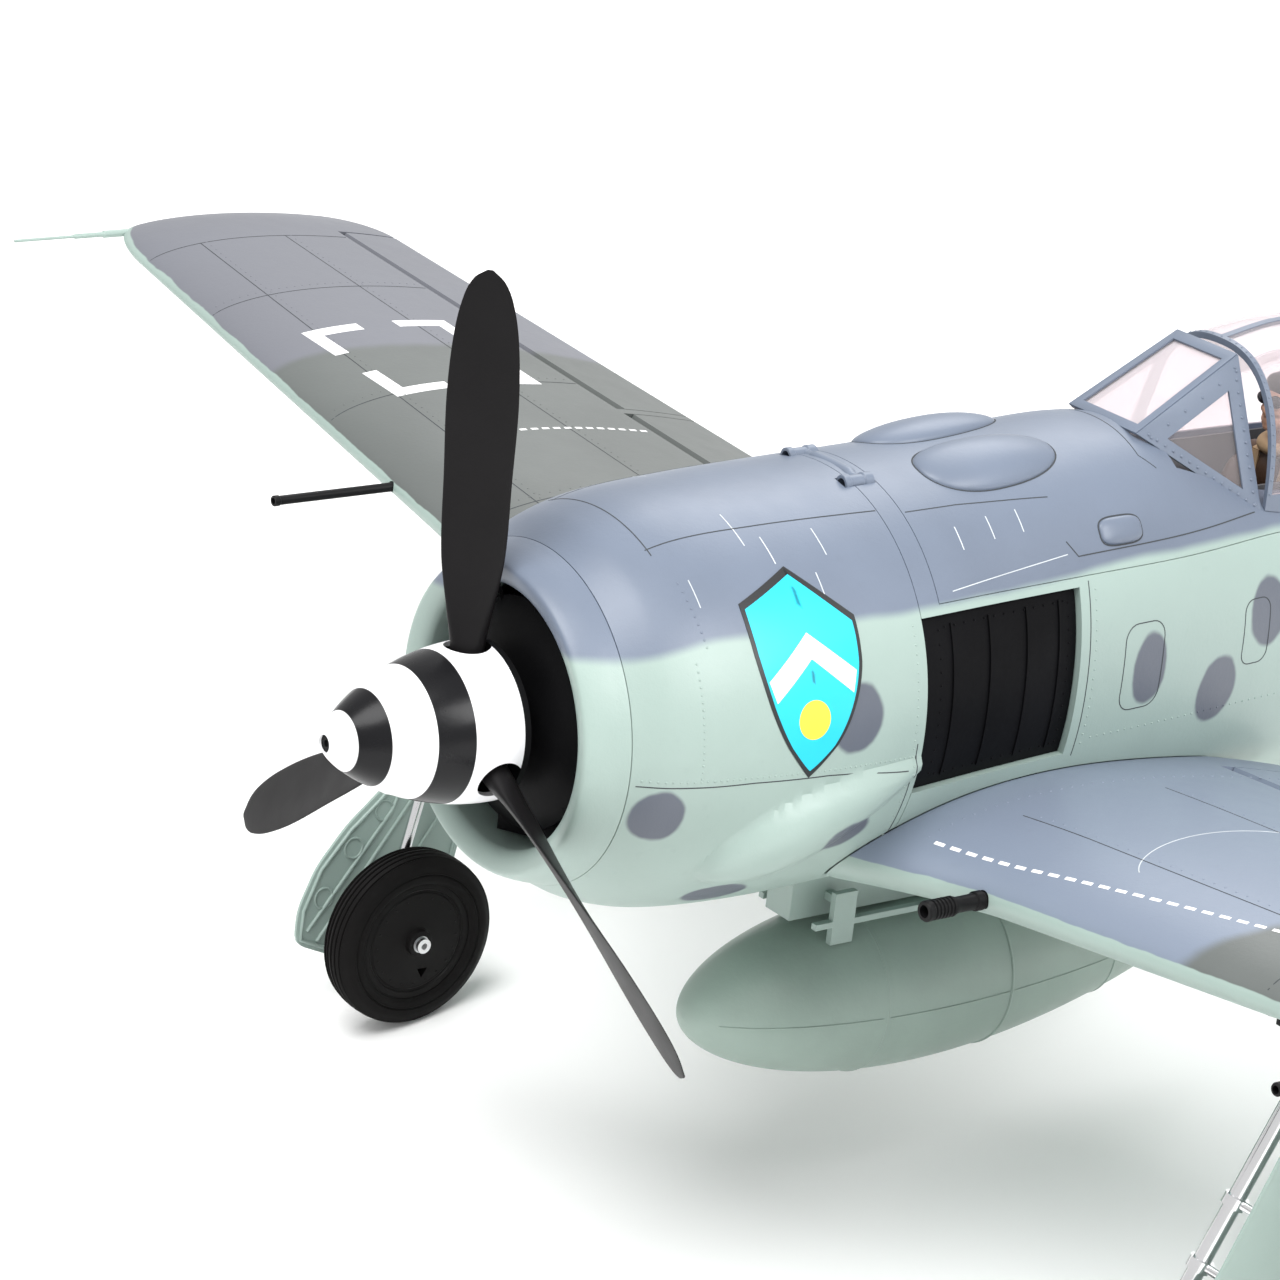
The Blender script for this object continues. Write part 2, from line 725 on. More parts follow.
def prism_faces(n):
    """Faces between two closed outlines of n points each, whose points follow each other in one list."""
    sides = [(i, (i + 1) % n, n + (i + 1) % n, n + i) for i in range(n)]
    return [tuple(range(n)), tuple(range(n, 2 * n))] + sides


def prism(shape, height):
    """Upright solid over a closed outline."""
    return [(x, y, 0) for x, y in shape] + [(x, y, height) for x, y in shape], prism_faces(len(shape))


def hinged_zone(x0, x1, gap):
    a, b = hinge_point(x0 - gap), hinge_point(x1 + gap)
    shape = ([(-30, -gap), (30, -gap), (30, 90), (-30, 90)] if gap
             else [(0, 0), (30, 20), (30, 90), (-30, 90), (-30, 20)])
    return temp(*prism(shape, (b - a).length), turned_from(a, b))


def rod_solid(a, b, r, sides=64):
    a, b = Vector(a), Vector(b)
    v, f = prism(circle(r, sides), (b - a).length)
    return temp(v, f, turned_from(a, b))


def mirrored(ob):
    """A mirrored copy of a scratch solid."""
    new = ob.copy()
    new.data = ob.data.copy()
    bpy.context.collection.objects.link(new)
    new.data.transform(Matrix.Diagonal((-1, 1, 1, 1)))
    new.data.flip_normals()
    return new


def ribbon(points, width, lift=0.1):
    """Thin strip on a surface. points is a list of (point, outward direction)."""
    verts, faces = [], []
    n = len(points)
    for i, (p, out) in enumerate(points):
        along = (points[min(i + 1, n - 1)][0] - points[max(i - 1, 0)][0]).normalized()
        side = along.cross(out).normalized() * width / 2
        verts += [p + side + out * lift, p - side + out * lift, p - side - out * 0.25, p + side - out * 0.25]
    for i in range(n - 1):
        a, b = 4 * i, 4 * i + 4
        for k in range(4):
            faces.append((a + k, a + (k + 1) % 4, b + (k + 1) % 4, b + k))
    faces += [(0, 1, 2, 3), (4 * n - 4, 4 * n - 3, 4 * n - 2, 4 * n - 1)]
    return verts, faces


def patch(left, right, on, rows=24, columns=16, lift=0.12):
    """Decal between two lines, given as 2-D points for t from 0 to 1; on(a, b, out) puts them on the skin."""
    verts, faces = [], []
    for deep in (lift, -0.2):
        for i in range(rows + 1):
            l, r = left(i / rows), right(i / rows)
            for j in range(columns + 1):
                a, b = mix(l[0], r[0], j / columns), mix(l[1], r[1], j / columns)
                verts.append(on(a, b, deep)[0])
    w = columns + 1
    base = (rows + 1) * w
    for i in range(rows):
        for j in range(columns):
            a = i * w + j
            faces += [(a, a + 1, a + w + 1, a + w), (base + a, base + a + w, base + a + w + 1, base + a + 1)]
    rim = ([(0, j) for j in range(columns)] + [(i, columns) for i in range(rows)]
           + [(rows, j) for j in range(columns, 0, -1)] + [(i, 0) for i in range(rows, 0, -1)])
    for k, (i, j) in enumerate(rim):
        i2, j2 = rim[(k + 1) % len(rim)]
        a, b = i * w + j, i2 * w + j2
        faces.append((a, b, base + b, base + a))
    return verts, faces


def line(points):
    """Function of t along straight stretches between 2-D points."""
    def at(t):
        k = min(len(points) - 2, int(t * (len(points) - 1)))
        s = t * (len(points) - 1) - k
        return mix(points[k][0], points[k + 1][0], s), mix(points[k][1], points[k + 1][1], s)
    return at


# ---------------------------------------------------------------- undercarriage geometry
PIVOT = Vector((313, 306, -50))
WHEEL = Vector((264, 239, -240.6))
FOOT = WHEEL + Vector((22, 0, 0))
LEG = (FOOT - PIVOT).length
DOWN = (FOOT - PIVOT).normalized()
IN = (Vector((111, 318, -84)) - PIVOT).normalized()


def frame_of(d, v):
    s = (v - d * v.dot(d)).normalized()
    return Matrix((d, s, d.cross(s)))


TURN = frame_of(IN, Vector((0, 0, -1))).transposed() @ frame_of(DOWN, Vector((1, 0, 0)))
AXLE_IN = TURN @ Vector((1, 0, 0))


def wheel_well():
    """Space for the stowed wheel, at both ends of the oleo travel."""
    out = []
    for travel in (0, 10):
        a = PIVOT + TURN @ (WHEEL - PIVOT) - IN * travel - AXLE_IN * 16.2
        out.append(rod_solid(a, a + AXLE_IN * 110, 51, 96))
    return out


def gear_bay():
    p = PIVOT
    return [temp(*block((p.x - 26, p.y - 23.5, -130), (p.x + 20, p.y + 24, -36.5))),
            temp(*block((100, p.y - 18, -130), (p.x, p.y + 30, -45)))]


def whole_above(wells):
    """Wells joined and cut back so that the upper wing skin stays whole over them."""
    low, skin = wing_solid(0), wing_solid(0)
    low.data.transform(Matrix.Translation((0, 0, -0.9)))
    joined_wells = combine(wells[0], wells[1:], "UNION")
    return combine(joined_wells, [combine(skin, [low])])


def both(make):
    """Port and starboard copies of a list of scratch solids."""
    out = make()
    out = out if isinstance(out, list) else [out]
    return out + [mirrored(o) for o in out]


def gun_seats(grow=0.0):
    return [temp(*lathe([(0, 250 - grow), (4.2 + grow, 250 - grow), (4.2 + grow, 267.5), (0, 267.5)], 32,
                        (s * 20.4, 0, 96)))
            for s in (-1, 1)]


# ---------------------------------------------------------------- cowl, fuselage and hatch
cowl = body_solid(105.8, 255.6, 0, 90, 200)
combine(cowl, [body_solid(104, 266, 2.6, 40, 120, False)] + both(lambda: wing_solid(0.5)) + gun_seats())
finished(cowl, "cowl_skin", M_BODY, "airframe", ["cowl"], 34)

ring_profile = [(69 - 9.7 * math.sin(a), 92.5 - 6.5 * math.cos(a)) for a in span(0, PI / 2, 14)]
ring_profile += [(59.6, 96), (60.2, 116), (62.5, 116), (63.5, 110), (74.2, 110), (74.2, 105.4), (77, 105.4)]
ring_profile += [(76.6, 103.8), (76, 102), (75.4, 99.6), (74.6, 97), (73.6, 94), (72.4, 91), (71.7, 89.4),
                 (70.9, 88), (70.1, 86.8)]
piece("cowl_front_ring", *lathe(ring_profile, 160), M_BODY, "airframe", ["cowl_ring"], 40)

TAIL_TABLE = [[0, 1058, 1208], [60, 1068, 1206], [160, 1086, 1202], [235, 1100, 1196], [252, 1108, 1190],
              [260, 1124, 1176]]
FIN_TABLE = [[35, 1010, 1262], [60, 1040, 1268], [90, 1072, 1270], [130, 1108, 1266], [165, 1136, 1256],
             [182, 1152, 1244], [190, 1172, 1228]]


def tail_ring(c, t, points=26):
    ring = []
    for k in range(points + 1):
        u = (1 - k / points) ** 2
        ring.append((c * u, c * t * half_depth(u) + 0.6 * u))
    for k in range(1, points + 1):
        u = (k / points) ** 2
        ring.append((c * u, -c * t * half_depth(u) - 0.6 * u))
    return ring


def stations(table, extra=6):
    """Rows between the table's own, with rounded ends kept as they are."""
    rows = []
    for a, b in zip(table[:-1], table[1:]):
        for i in range(extra):
            y = mix(a[0], b[0], i / extra)
            rows.append([y, smooth(table, y, 1), smooth(table, y, 2)])
    return rows + [table[-1]]


def tailplane_half(lift=0.0):
    return temp(*loft([[(s[0], s[1] + p[0], 40 + p[1] + lift) for p in tail_ring(s[2] - s[1], 0.10)]
                       for s in stations(TAIL_TABLE)]))


def fin_solid(shift=0.0):
    return temp(*loft([[(-p[1] + shift, s[1] + p[0], s[0]) for p in tail_ring(s[2] - s[1], 0.095)]
                       for s in stations(FIN_TABLE)]))


def hatch_zone(gap=0.0):
    return temp(*block((-100, 268 + gap, 56 + gap), (100, 730 - gap, 156)))


def exhaust_opening():
    return [temp(*block((s * 80 - 25, 254, -28), (s * 80 + 25, 356, 52))) for s in (-1, 1)]


fuselage = body_solid(256, 1195, 0, 190, 176)
tools = [body_solid(259, 1155, 5, 60, 96, False), temp(*block((-44, 255, -50), (44, 263, 50))), hatch_zone()]
tools += exhaust_opening() + gun_seats()
tools += [rod_solid((-100, 376, -60), (100, 376, -60), 5.3, 32)]
tools += both(wheel_well) + both(lambda: wing_solid(0.35))
tools += [temp(*block((-40, 1152, 32), (40, 1232, 48))), temp(*block((-5.3, 1158, 35), (5.3, 1218, 65)))]
tools += both(lambda: [tailplane_half(0.3), tailplane_half(-0.3)]) + [fin_solid(0.3), fin_solid(-0.3)]
tools += [temp(*block((-9, 1128, -60), (9, 1178, 0)))]
combine(fuselage, tools)
finished(fuselage, "fuselage_skin", M_BODY, "airframe", ["fuselage"], 34)

hatch = body_solid(256, 760, 0, 150, 240)
combine(hatch, [hatch_zone(0.4)], "INTERSECT")
combine(hatch, [body_solid(246, 790, 5, 50, 96, False), temp(*block((-38, 440, 26), (38, 630, 146)))])
finished(hatch, "hatch_skin", M_BODY, "hatch_unit", ["hatch"], 34)

# ---------------------------------------------------------------- wing, fin and tail
CANNONS = ((142, -58, 4.3, 34), (375, -35.8, 3.1, 80))
LINKS = (520, 330)


def link_cuts():
    out = []
    for x in LINKS:
        m = turned_from(hinge_point(x), hinge_point(x + 1))
        out.append(temp(*block((-9, -78, -14), (31, -42, -2)), m))
        out.append(temp(*block((-5, -76, -2.2), (35, -48, 3.2)), m))
    return out


def wing_panel():
    panel = wing_solid()
    combine(panel, [temp(*block((60.5, 0, -200), (860.5, 800, 200)))], "INTERSECT")
    cuts = [hinged_zone(80, 408, 0.7), hinged_zone(416, 701, 0.7),
            body_solid(180, 640, -0.4, 90, 160, False), whole_above(wheel_well())]
    cuts += gear_bay() + link_cuts() + [rod_solid((-10, 376, -60), (182, 376, -60), 5.3, 32)]
    cuts += [rod_solid((x, 240, z), (x, 240 + n, z), r, 32) for x, z, r, n in CANNONS]
    return combine(panel, cuts)


def surface(x0, x1, link):
    part = combine(wing_solid(), [hinged_zone(x0, x1, 0.0)], "INTERSECT")
    m = turned_from(hinge_point(link), hinge_point(link + 1))
    horn = [(20 + 3.2 * math.cos(a), 3.2 * math.sin(a)) for a in span(-1.9, 1.0, 10)] + [(3, 22), (2, 22),
                                                                                         (2, 10)]
    plate = temp(*prism(horn, 1.6), m)
    combine(plate, [temp(*moved(prism(circle(1.06, 24), 4), m @ Matrix.Translation((20, 0, -1))))])
    return part, plate


panel = wing_panel()
other = mirrored(panel)
finished(panel, "wing_skin_left", M_WING, "airframe", ["wing_left"], 34)
finished(other, "wing_skin_right", M_WING, "airframe", ["wing_right"], 34)
for kind, x0, x1, link in (("aileron", 416, 700, 520), ("flap", 80, 408, 330)):
    part, plate = surface(x0, x1, link)
    opposite = mirrored(part), mirrored(plate)
    for side, (skin, horn) in (("left", (part, plate)), ("right", opposite)):
        finished(skin, f"{kind}_skin_{side}", M_WING, f"{kind}_{side}", [f"{kind}_{side}"], 30)
        finished(horn, f"{kind}_horn_{side}", M_BLACK, f"{kind}_{side}", (), 30)


def elevator_zone(gap):
    shape = [(-20, -gap), (20, -gap), (20, 80), (-20, 80)] if gap else [(0, 0), (20, 12), (20, 80),
                                                                        (-20, 80), (-20, 12)]
    return temp(*prism(shape, 300), turned_from((24 - gap, 1158, 40), (324 - gap, 1158, 40)))


tail = combine(tailplane_half(), [mirrored(tailplane_half())], "UNION")
combine(tail, both(lambda: elevator_zone(0.7)) + [temp(*block((-24.8, 1153, 0), (24.8, 1233, 80)))])
finished(tail, "tailplane_skin", M_TAIL, "airframe", ["tailplane"], 30)
half = combine(tailplane_half(), [elevator_zone(0.0)], "INTERSECT")
finished(mirrored(half), "elevator_skin_right", M_TAIL, "elevator", ["elevator"], 30)
finished(half, "elevator_skin_left", M_TAIL, "elevator", ["elevator"], 30)
piece("elevator_joiner", *tube([(-26, 1161, 40), (26, 1161, 40)], 2, 20), M_STEEL, "elevator")

fin = combine(fin_solid(), [temp(*block((-30, 1000, 30), (30, 1197, 230)))], "INTERSECT")
combine(fin,
        both(lambda: [tailplane_half(0.3),
                      tailplane_half(-0.3)]) + [temp(*block((-30, 1151, 31), (30, 1231, 49)))])
finished(fin, "fin_skin", M_FIN, "airframe", ["fin"], 30)
foot = prism([(-5, 1200), (5, 1200), (0.8, 1262), (-0.8, 1262)], 56)
behind_hinge = prism([(0, 1200), (12, 1212), (12, 1300), (-12, 1300), (-12, 1212)], 260)
rudder = combine(fin_solid(), [temp(*moved(foot, Matrix.Translation((0, 0, -14))))], "UNION")
combine(rudder, [temp(*moved(behind_hinge, Matrix.Translation((0, 0, -40))))], "INTERSECT")
outline = [(1190, -14), (1236, -14), (1262, 30), (1280, 60), (1280, 200), (1190, 200)]
combine(rudder, [temp([(x, y, z) for x in (-20, 20) for y, z in outline],
                      prism_faces(6))], "INTERSECT")
finished(rudder, "rudder_skin", M_FIN, "rudder", ["rudder"], 30)

# ---------------------------------------------------------------- blisters


def blister(name, on, centre, reach, high, body, power=2.0, crisp=0.7, taper=0.0):
    """Raised fairing on a skin. Its plan is a rounded oblong that reaches out each way from the centre."""
    rings, n = 14, 56
    verts, faces = [], []
    for i in range(rings + 1):
        r = math.sin(PI / 2 * i / rings)
        for k in range(n):
            a = 2 * PI * k / n
            u, v = spow(math.cos(a), 2 / power), spow(math.sin(a), 2 / power)
            v *= 1 - taper * u
            out = high * (1 - r * r) ** crisp if i < rings else -0.35
            verts.append(on(centre[0] + reach[0] * r * u, centre[1] + reach[1] * r * v, out)[0])
    for i in range(rings):
        for k in range(n):
            a, b = i * n + k, i * n + (k + 1) % n
            faces.append((a, b, b + n, a + n))
    base = len(verts)
    verts += [on(centre[0], centre[1], high)[0], on(centre[0], centre[1], -0.6)[0]]
    for k in range(n):
        faces.append((rings * n + k, rings * n + (k + 1) % n, base + 1))
    piece(name, verts, faces, M_BODY, body, sharp=50)
    rim = [on(centre[0] + (reach[0] + 0.4) * spow(math.cos(a), 2 / power),
              centre[1] + (reach[1] + 0.4) * spow(math.sin(a),
                                                  2 / power) * (1 - taper * spow(math.cos(a), 2 / power)), 0)
           for a in span(0, 2 * PI, 64)]
    piece(name + "_edge", *ribbon(rim, 0.7), M_SEAM, body)


for s, word in ((1, "port"), (-1, "starboard")):
    blister(f"gun_blister_{word}", lambda a, b, out, s=s: body_top(s * b, a, out), (334, 22), (39, 17.5),
            7.0, "hatch_unit", 2.3, 0.62, 0.12)
    blister(f"latch_blister_{word}", lambda a, b, out, s=s: body_side(a, b, s, out), (388, 72), (13, 5.4),
            2.6, "hatch_unit", 3.4, 0.4)

# ---------------------------------------------------------------- seams, ticks and rivets
seams, ticks = [], []


def side_line(points, side=1, step=2.5):
    """Points on the body's side along (y, z) corners."""
    out = []
    for (y0, z0), (y1, z1) in zip(points[:-1], points[1:]):
        n = max(1, int(math.hypot(y1 - y0, z1 - z0) / step))
        out += [body_side(mix(y0, y1, i / n), mix(z0, z1, i / n), side) for i in range(n)]
    return out + [body_side(*points[-1], side)]


def hoop(y, a0, a1, n=60):
    """Line over the body at one station, from the port side to starboard."""
    return [place_on(y, min(a, PI - a), 1 if a <= PI / 2 else -1, 0) for a in span(a0, a1, n)]


def top_line(points, step=2.5):
    out = []
    for (x0, y0), (x1, y1) in zip(points[:-1], points[1:]):
        n = max(1, int(math.hypot(x1 - x0, y1 - y0) / step))
        out += [body_top(mix(x0, x1, i / n), mix(y0, y1, i / n)) for i in range(n)]
    return out + [body_top(*points[-1])]


def wing_line(points, side=1, step=4):
    out = []
    for (x0, y0), (x1, y1) in zip(points[:-1], points[1:]):
        n = max(1, int(math.hypot(x1 - x0, y1 - y0) / step))
        out += [wing_top(mix(x0, x1, i / n), mix(y0, y1, i / n), 0, side) for i in range(n)]
    return out + [wing_top(*points[-1], 0, side)]


def rounded(y, z, w, h, r, side):
    pts = []
    for cy, cz, a0 in ((y + w - r, z + h - r, 0), (y - w + r, z + h - r, PI / 2),
                       (y - w + r, z - h + r, PI), (y + w - r, z - h + r, 1.5 * PI)):
        pts += [(cy + r * math.cos(a), cz + r * math.sin(a)) for a in span(a0, a0 + PI / 2, 6)]
    return side_line(pts + [pts[0]], side)


for s in (1, -1):
    seams.append(ribbon([body_top(s * x, y) for x, y in zip(span(35, 41, 30), span(133, 255, 30))], 0.55))
    seams.append(ribbon(side_line([(108, -6), (130, -6), (160, -6), (200, -8), (246, -13)], s), 0.5))
    seams.append(ribbon(side_line([(252, -2), (252, -74)], s), 0.5))
    seams.append(ribbon(rounded(399, 9.5, 13, 21, 8, s), 0.5))
    seams.append(ribbon(rounded(478, 14, 9, 16, 6, s), 0.5))
    for y, low, high in ((362, -30, 54), (531, -30, 54), (660, -62, 55), (820, -50, 55), (985, -34, 50)):
        seams.append(ribbon(side_line([(y, low), (y, high)], s), 0.5))
    seams.append(ribbon(side_line([(731, 10), (985, 10)], s), 0.5))
    for y, z in ((188, 78), (216, 79), (292, 74), (312, 76), (330, 77), (206, 66), (178, 84)):
        ticks.append(ribbon(side_line([(y, z), (y, z + 8)], s, 1.5), 0.55))
    ticks.append(ribbon(side_line([(143, 66), (143, 75)], s, 1.5), 0.5))
    ticks.append(ribbon(side_line([(278, 60), (352, 66)], s), 0.45))
seams.append(ribbon(hoop(134, 1.13, PI - 1.13), 0.5))
hatch_seams = [ribbon(top_line([(-40, 425), (-34, 418), (34, 418), (40, 425)]), 0.5)]
hatch_seams += [ribbon(top_line([(s * 44, 270), (s * 44, 300), (s * 47, 352)]), 0.5) for s in (1, -1)]
hatch_seams += [ribbon(side_line([(353, 71), (358.5, 64.5), (420, 65.4), (486, 66)], s), 0.6)
                for s in (1, -1)]
piece("body_seams", *joined(seams), M_SEAM, "airframe")
piece("body_worn_ticks", *joined(ticks), M_WORN, "airframe")
piece("hatch_seams", *joined(hatch_seams), M_SEAM, "hatch_unit")

wing_seams, wing_ticks, wing_white = [], [], []
for s in (1, -1):
    for x in (300, 452, 604, 690):
        wing_seams.append(ribbon(wing_line([(s * x, wing_facts(x)[0] + 3), (s * x, hinge_y(x) - 2)]), 0.5))
    for f in (0.2, 0.52):
        pts = [(s * x, wing_facts(x)[0] + f * wing_facts(x)[1]) for x in span(112, 690, 60)]
        wing_seams.append(ribbon([wing_top(*p) for p in pts], 0.5))
    curve = [(s * (198 + 26 * math.cos(a)), 352 + 52 * math.sin(a)) for a in span(2.2, 4.4, 30)]
    wing_ticks.append(ribbon([wing_top(*p) for p in curve], 0.5))
    for x in (300, 452, 604):
        wing_seams.append(ribbon(wing_line([(s * x, wing_facts(x)[0] + 6), (s * x, hinge_y(x) - 3)], -1),
                                 0.5))
for start, end, count in (((101, 261), (277, 307.5), 21), ((-385, 352), (-380, 452), 14)):
    for k in range(count):
        a, b = (k + 0.15) / count, (k + 0.75) / count
        p, q = [(mix(start[0], end[0], t), mix(start[1], end[1], t)) for t in (a, b)]
        wing_white.append(ribbon(wing_line([p, q], 1, 2), 2.1, 0.12))


def corner_mark(cx, cy, dx, dy, arm, bar):
    """L-shaped mark whose corner points outwards, for the four corners of a square."""
    x1, y1 = cx + dx * arm, cy + dy * arm
    x2, y2 = x1 - dx * bar, y1 - dy * bar
    return [patch(line([(x1, cy), (x1, y1)]), line([(x2, cy), (x2, y1)]), wing_top, 16, 4),
            patch(line([(cx, y1), (x2, y1)]), line([(cx, y2), (x2, y2)]), wing_top, 16, 4)]


for s in (1, -1):
    for dx in (1, -1):
        for dy in (1, -1):
            wing_white += corner_mark(s * 498 + dx * 14, 378 + dy * 12, dx, dy, 36, 9)
piece("wing_seams", *joined(wing_seams), M_SEAM, "airframe")
piece("wing_worn_lines", *joined(wing_ticks), M_WORN, "airframe")
piece("wing_white_marks", *joined(wing_white), M_WHITE, "airframe")

# plain shield on each side of the cowl


def shield(name, side, b, mat, lift):
    """Heater shield with a peaked top and curved sides that meet below, drawn in by b."""
    left = [(161 + b, 66.5 - b), (161.5 + b, 48), (166.5 + b, 26), (175.5 + b, 8), (188, -7 + 1.6 * b)]
    right = [(218 - b, 58 - b), (217.5 - b, 40), (212 - b, 22), (202.5 - b, 6), (188, -7 + 1.6 * b)]
    middle = line([(191, 77 - 1.3 * b), (188, -7 + 1.6 * b)])
    on = lambda a, c, out: body_side(a, c, side, out)
    flow = lambda pts: lambda t: (bend([p[0] for p in pts], t), bend([p[1] for p in pts], t))
    halves = [patch(flow(left), middle, on, 48, 16, lift), patch(middle, flow(right), on, 48, 16, lift)]
    piece(name, *joined(halves), mat, "airframe", sharp=60)


def bend(values, t):
    """Smooth value at t from 0 to 1 through evenly spaced values."""
    n = len(values) - 1
    k = min(int(t * n), n - 1)
    u = t * n - k
    a, b = values[k], values[k + 1]
    before, after = values[max(k - 1, 0)], values[min(k + 2, n)]
    return b * u + a * (1 - u) + 0.25 * u * (1 - u) * ((a + b) - (before + after))


for s, word in ((1, "port"), (-1, "starboard")):
    shield(f"shield_border_{word}", s, 0, M_DECAL_BLACK, 0.34)
    shield(f"shield_field_{word}", s, 2.0, M_CYAN, 0.44)
    on = lambda a, b, out, s=s: body_side(a, b, s, out)
    arms = [patch(line([(166.5, 37), (190, 54)]), line([(169.5, 28), (190, 44)]), on, 16, 6, 0.56),
            patch(line([(190, 54), (213.5, 37)]), line([(190, 44), (211, 28)]), on, 16, 6, 0.56)]
    piece(f"shield_chevron_{word}", *joined(arms), M_WHITE, "airframe", sharp=60)
    disc = patch(lambda t: (189 - 8.5 * math.sin(PI * t), 19 + 8.5 * math.cos(PI * t)),
                 lambda t: (189 + 8.5 * math.sin(PI * t), 19 + 8.5 * math.cos(PI * t)), on, 24, 10, 0.56)
    piece(f"shield_disc_{word}", *disc, M_YELLOW, "airframe", sharp=60)

marks = []
STATIONS = ((134, -2, 46, 16), (250, -66, 50, 30), (366, -24, 50, 16), (664, -50, 50, 22), (824, -44, 50, 20))
for s in (1, -1):
    marks += [body_side(t, -3.4 - max(0, t - 160) * 0.05, s) for t in span(110, 248, 46)]
    marks += [body_side(138 + (74 - t) * 0.1, t, s) for t in span(52, 74, 8)]
    marks += [body_side(t, -22, s) for t in span(372, 528, 34)]
    for y, low, high, n in STATIONS:
        marks += [body_side(y, t, s) for t in span(low, high, n)]
rivets("body_rivets", marks, "airframe", M_BODY, 0.6, 0.3)
marks = []
for s in (1, -1):
    for x in (306, 458, 610):
        for t in span(wing_facts(x)[0] + 8, hinge_y(x) - 6, 26):
            marks.append(wing_top(s * x, t))
    for f in (0.2, 0.52):
        for x in span(118, 690, 90):
            marks.append(wing_top(s * x, wing_facts(x)[0] + f * wing_facts(x)[1] + 4))
    for t in span(262, 480, 34):
        marks.append(wing_top(s * 97, t))
rivets("wing_rivets", marks, "airframe", M_WING, 0.6, 0.28)

# ---------------------------------------------------------------- black panels behind the cowl
for s, word in ((1, "port"), (-1, "starboard")):
    outer = body_solid(242, 362, 3.4, 30, 200, False)
    combine(outer, [temp(*block((42, 256.6, -27.6), (102, 355.4, 51.6)))], "INTERSECT")
    combine(outer, [body_solid(238, 365, 5.4, 30, 160, False)])
    if s < 0:
        new = mirrored(outer)
        drop(outer)
        outer = new
    finished(outer, f"exhaust_panel_{word}", M_PANEL, "airframe", ["exhaust_panels"], 30)
ribs, dots = [], []
for s in (1, -1):
    for y in (276, 300, 324, 345):
        pts = [(body_side(y, z, s)[0] - body_side(y, z, s)[1] * 3.1, body_side(y, z, s)[1])
               for z in span(-24, 48, 20)]
        ribs.append(ribbon(pts, 1.3, 0.45))
    for y in (268, 351):
        for z in span(-22, 46, 11):
            p, n = body_side(y, z, s)
            dots.append((p - n * 3.35, n))
    for z in (-23, 47):
        for y in span(272, 348, 12):
            p, n = body_side(y, z, s)
            dots.append((p - n * 3.35, n))
piece("exhaust_panel_ribs", *joined(ribs), M_PANEL, "airframe")
rivets("exhaust_panel_rivets", dots, "airframe", M_PANEL, 0.6, 0.4)

# ---------------------------------------------------------------- propeller, spinner, fan
cone = [(36 * math.sin(PI / 2 * min(1, (y + 1.2) / 79)) ** 0.62, y)
        for y in (79 * (i / 60) ** 1.6 for i in range(61))]
cone = [(max(r, 4.0), y) for r, y in cone]
cone[0] = (4.6, 0.4)
cone += [(34, 79), (33, 60), (26, 30), (12, 12), (4.0, 9), (4.0, 0.8)]
spin = temp(*lathe(cone, 160))
holes = []
for k in range(3):
    a = math.radians(120 * k - 3)
    d = Vector((math.sin(a), 0, math.cos(a)))
    c = Vector((0, 71, 0))
    holes.append(rod_solid(c + d * 20, c + d * 50, 10.5, 64))
combine(spin, holes)
finished(spin, "spinner_shell", M_SPINNER, "propeller", ["spinner"], 40)
piece("spinner_tip_plug", *lathe([(0, 2.2), (1.6, 2.2), (1.6, 1.2), (3.96, 1.2), (3.96, 8), (0, 8)], 48),
      M_BLACK, "propeller", sharp=30)

BLADE = [
    [16, 15, 60, 13], [34, 15, 58, 12], [50, 20, 52, 8.5], [75, 28, 44, 6], [110, 31, 36, 4.4],
    [145, 34, 30, 3.2], [172, 31, 27, 2.4], [188, 24, 25, 1.9], [196, 15, 24, 1.5], [200, 3, 24, 1.0],
]


def blade_ring(r, n=40):
    c, t = smooth(BLADE, r, 1), smooth(BLADE, r, 3)
    a = math.radians(smooth(BLADE, r, 2))
    flat = min(1, max(0, (r - 34) / 30))
    ring = []
    for k in range(n):
        b = 2 * PI * k / n
        u, v = c / 2 * math.cos(b), t / 2 * math.sin(b)
        v = mix(v, v * (0.62 if v < 0 else 1.0) * (1 + 0.25 * math.cos(b)), flat)
        ring.append((u * math.cos(a) - v * math.sin(a), u * math.sin(a) + v * math.cos(a), r))
    return ring


radii = span(16, 188, 60) + [190, 192, 194, 196, 197.4, 198.6, 199.4, 200]
for k in range(3):
    turn = Matrix.Rotation(math.radians(120 * k - 3), 4, "Y")
    part = moved(loft([blade_ring(r) for r in radii]), Matrix.Translation((0, 71, 0)) @ turn)
    piece(f"blade_{k + 1}", *part, M_BLADE, "propeller", ["propeller_blades"], 50)

# dished cover with fins inside the intake
cover = [(4.2, 92), (30, 92.5), (44, 96), (52, 101), (52, 104), (43, 100), (30, 96), (4.2, 95)]
piece("fan_cover", *lathe(cover, 96), M_ENGINE, "propeller", sharp=50)

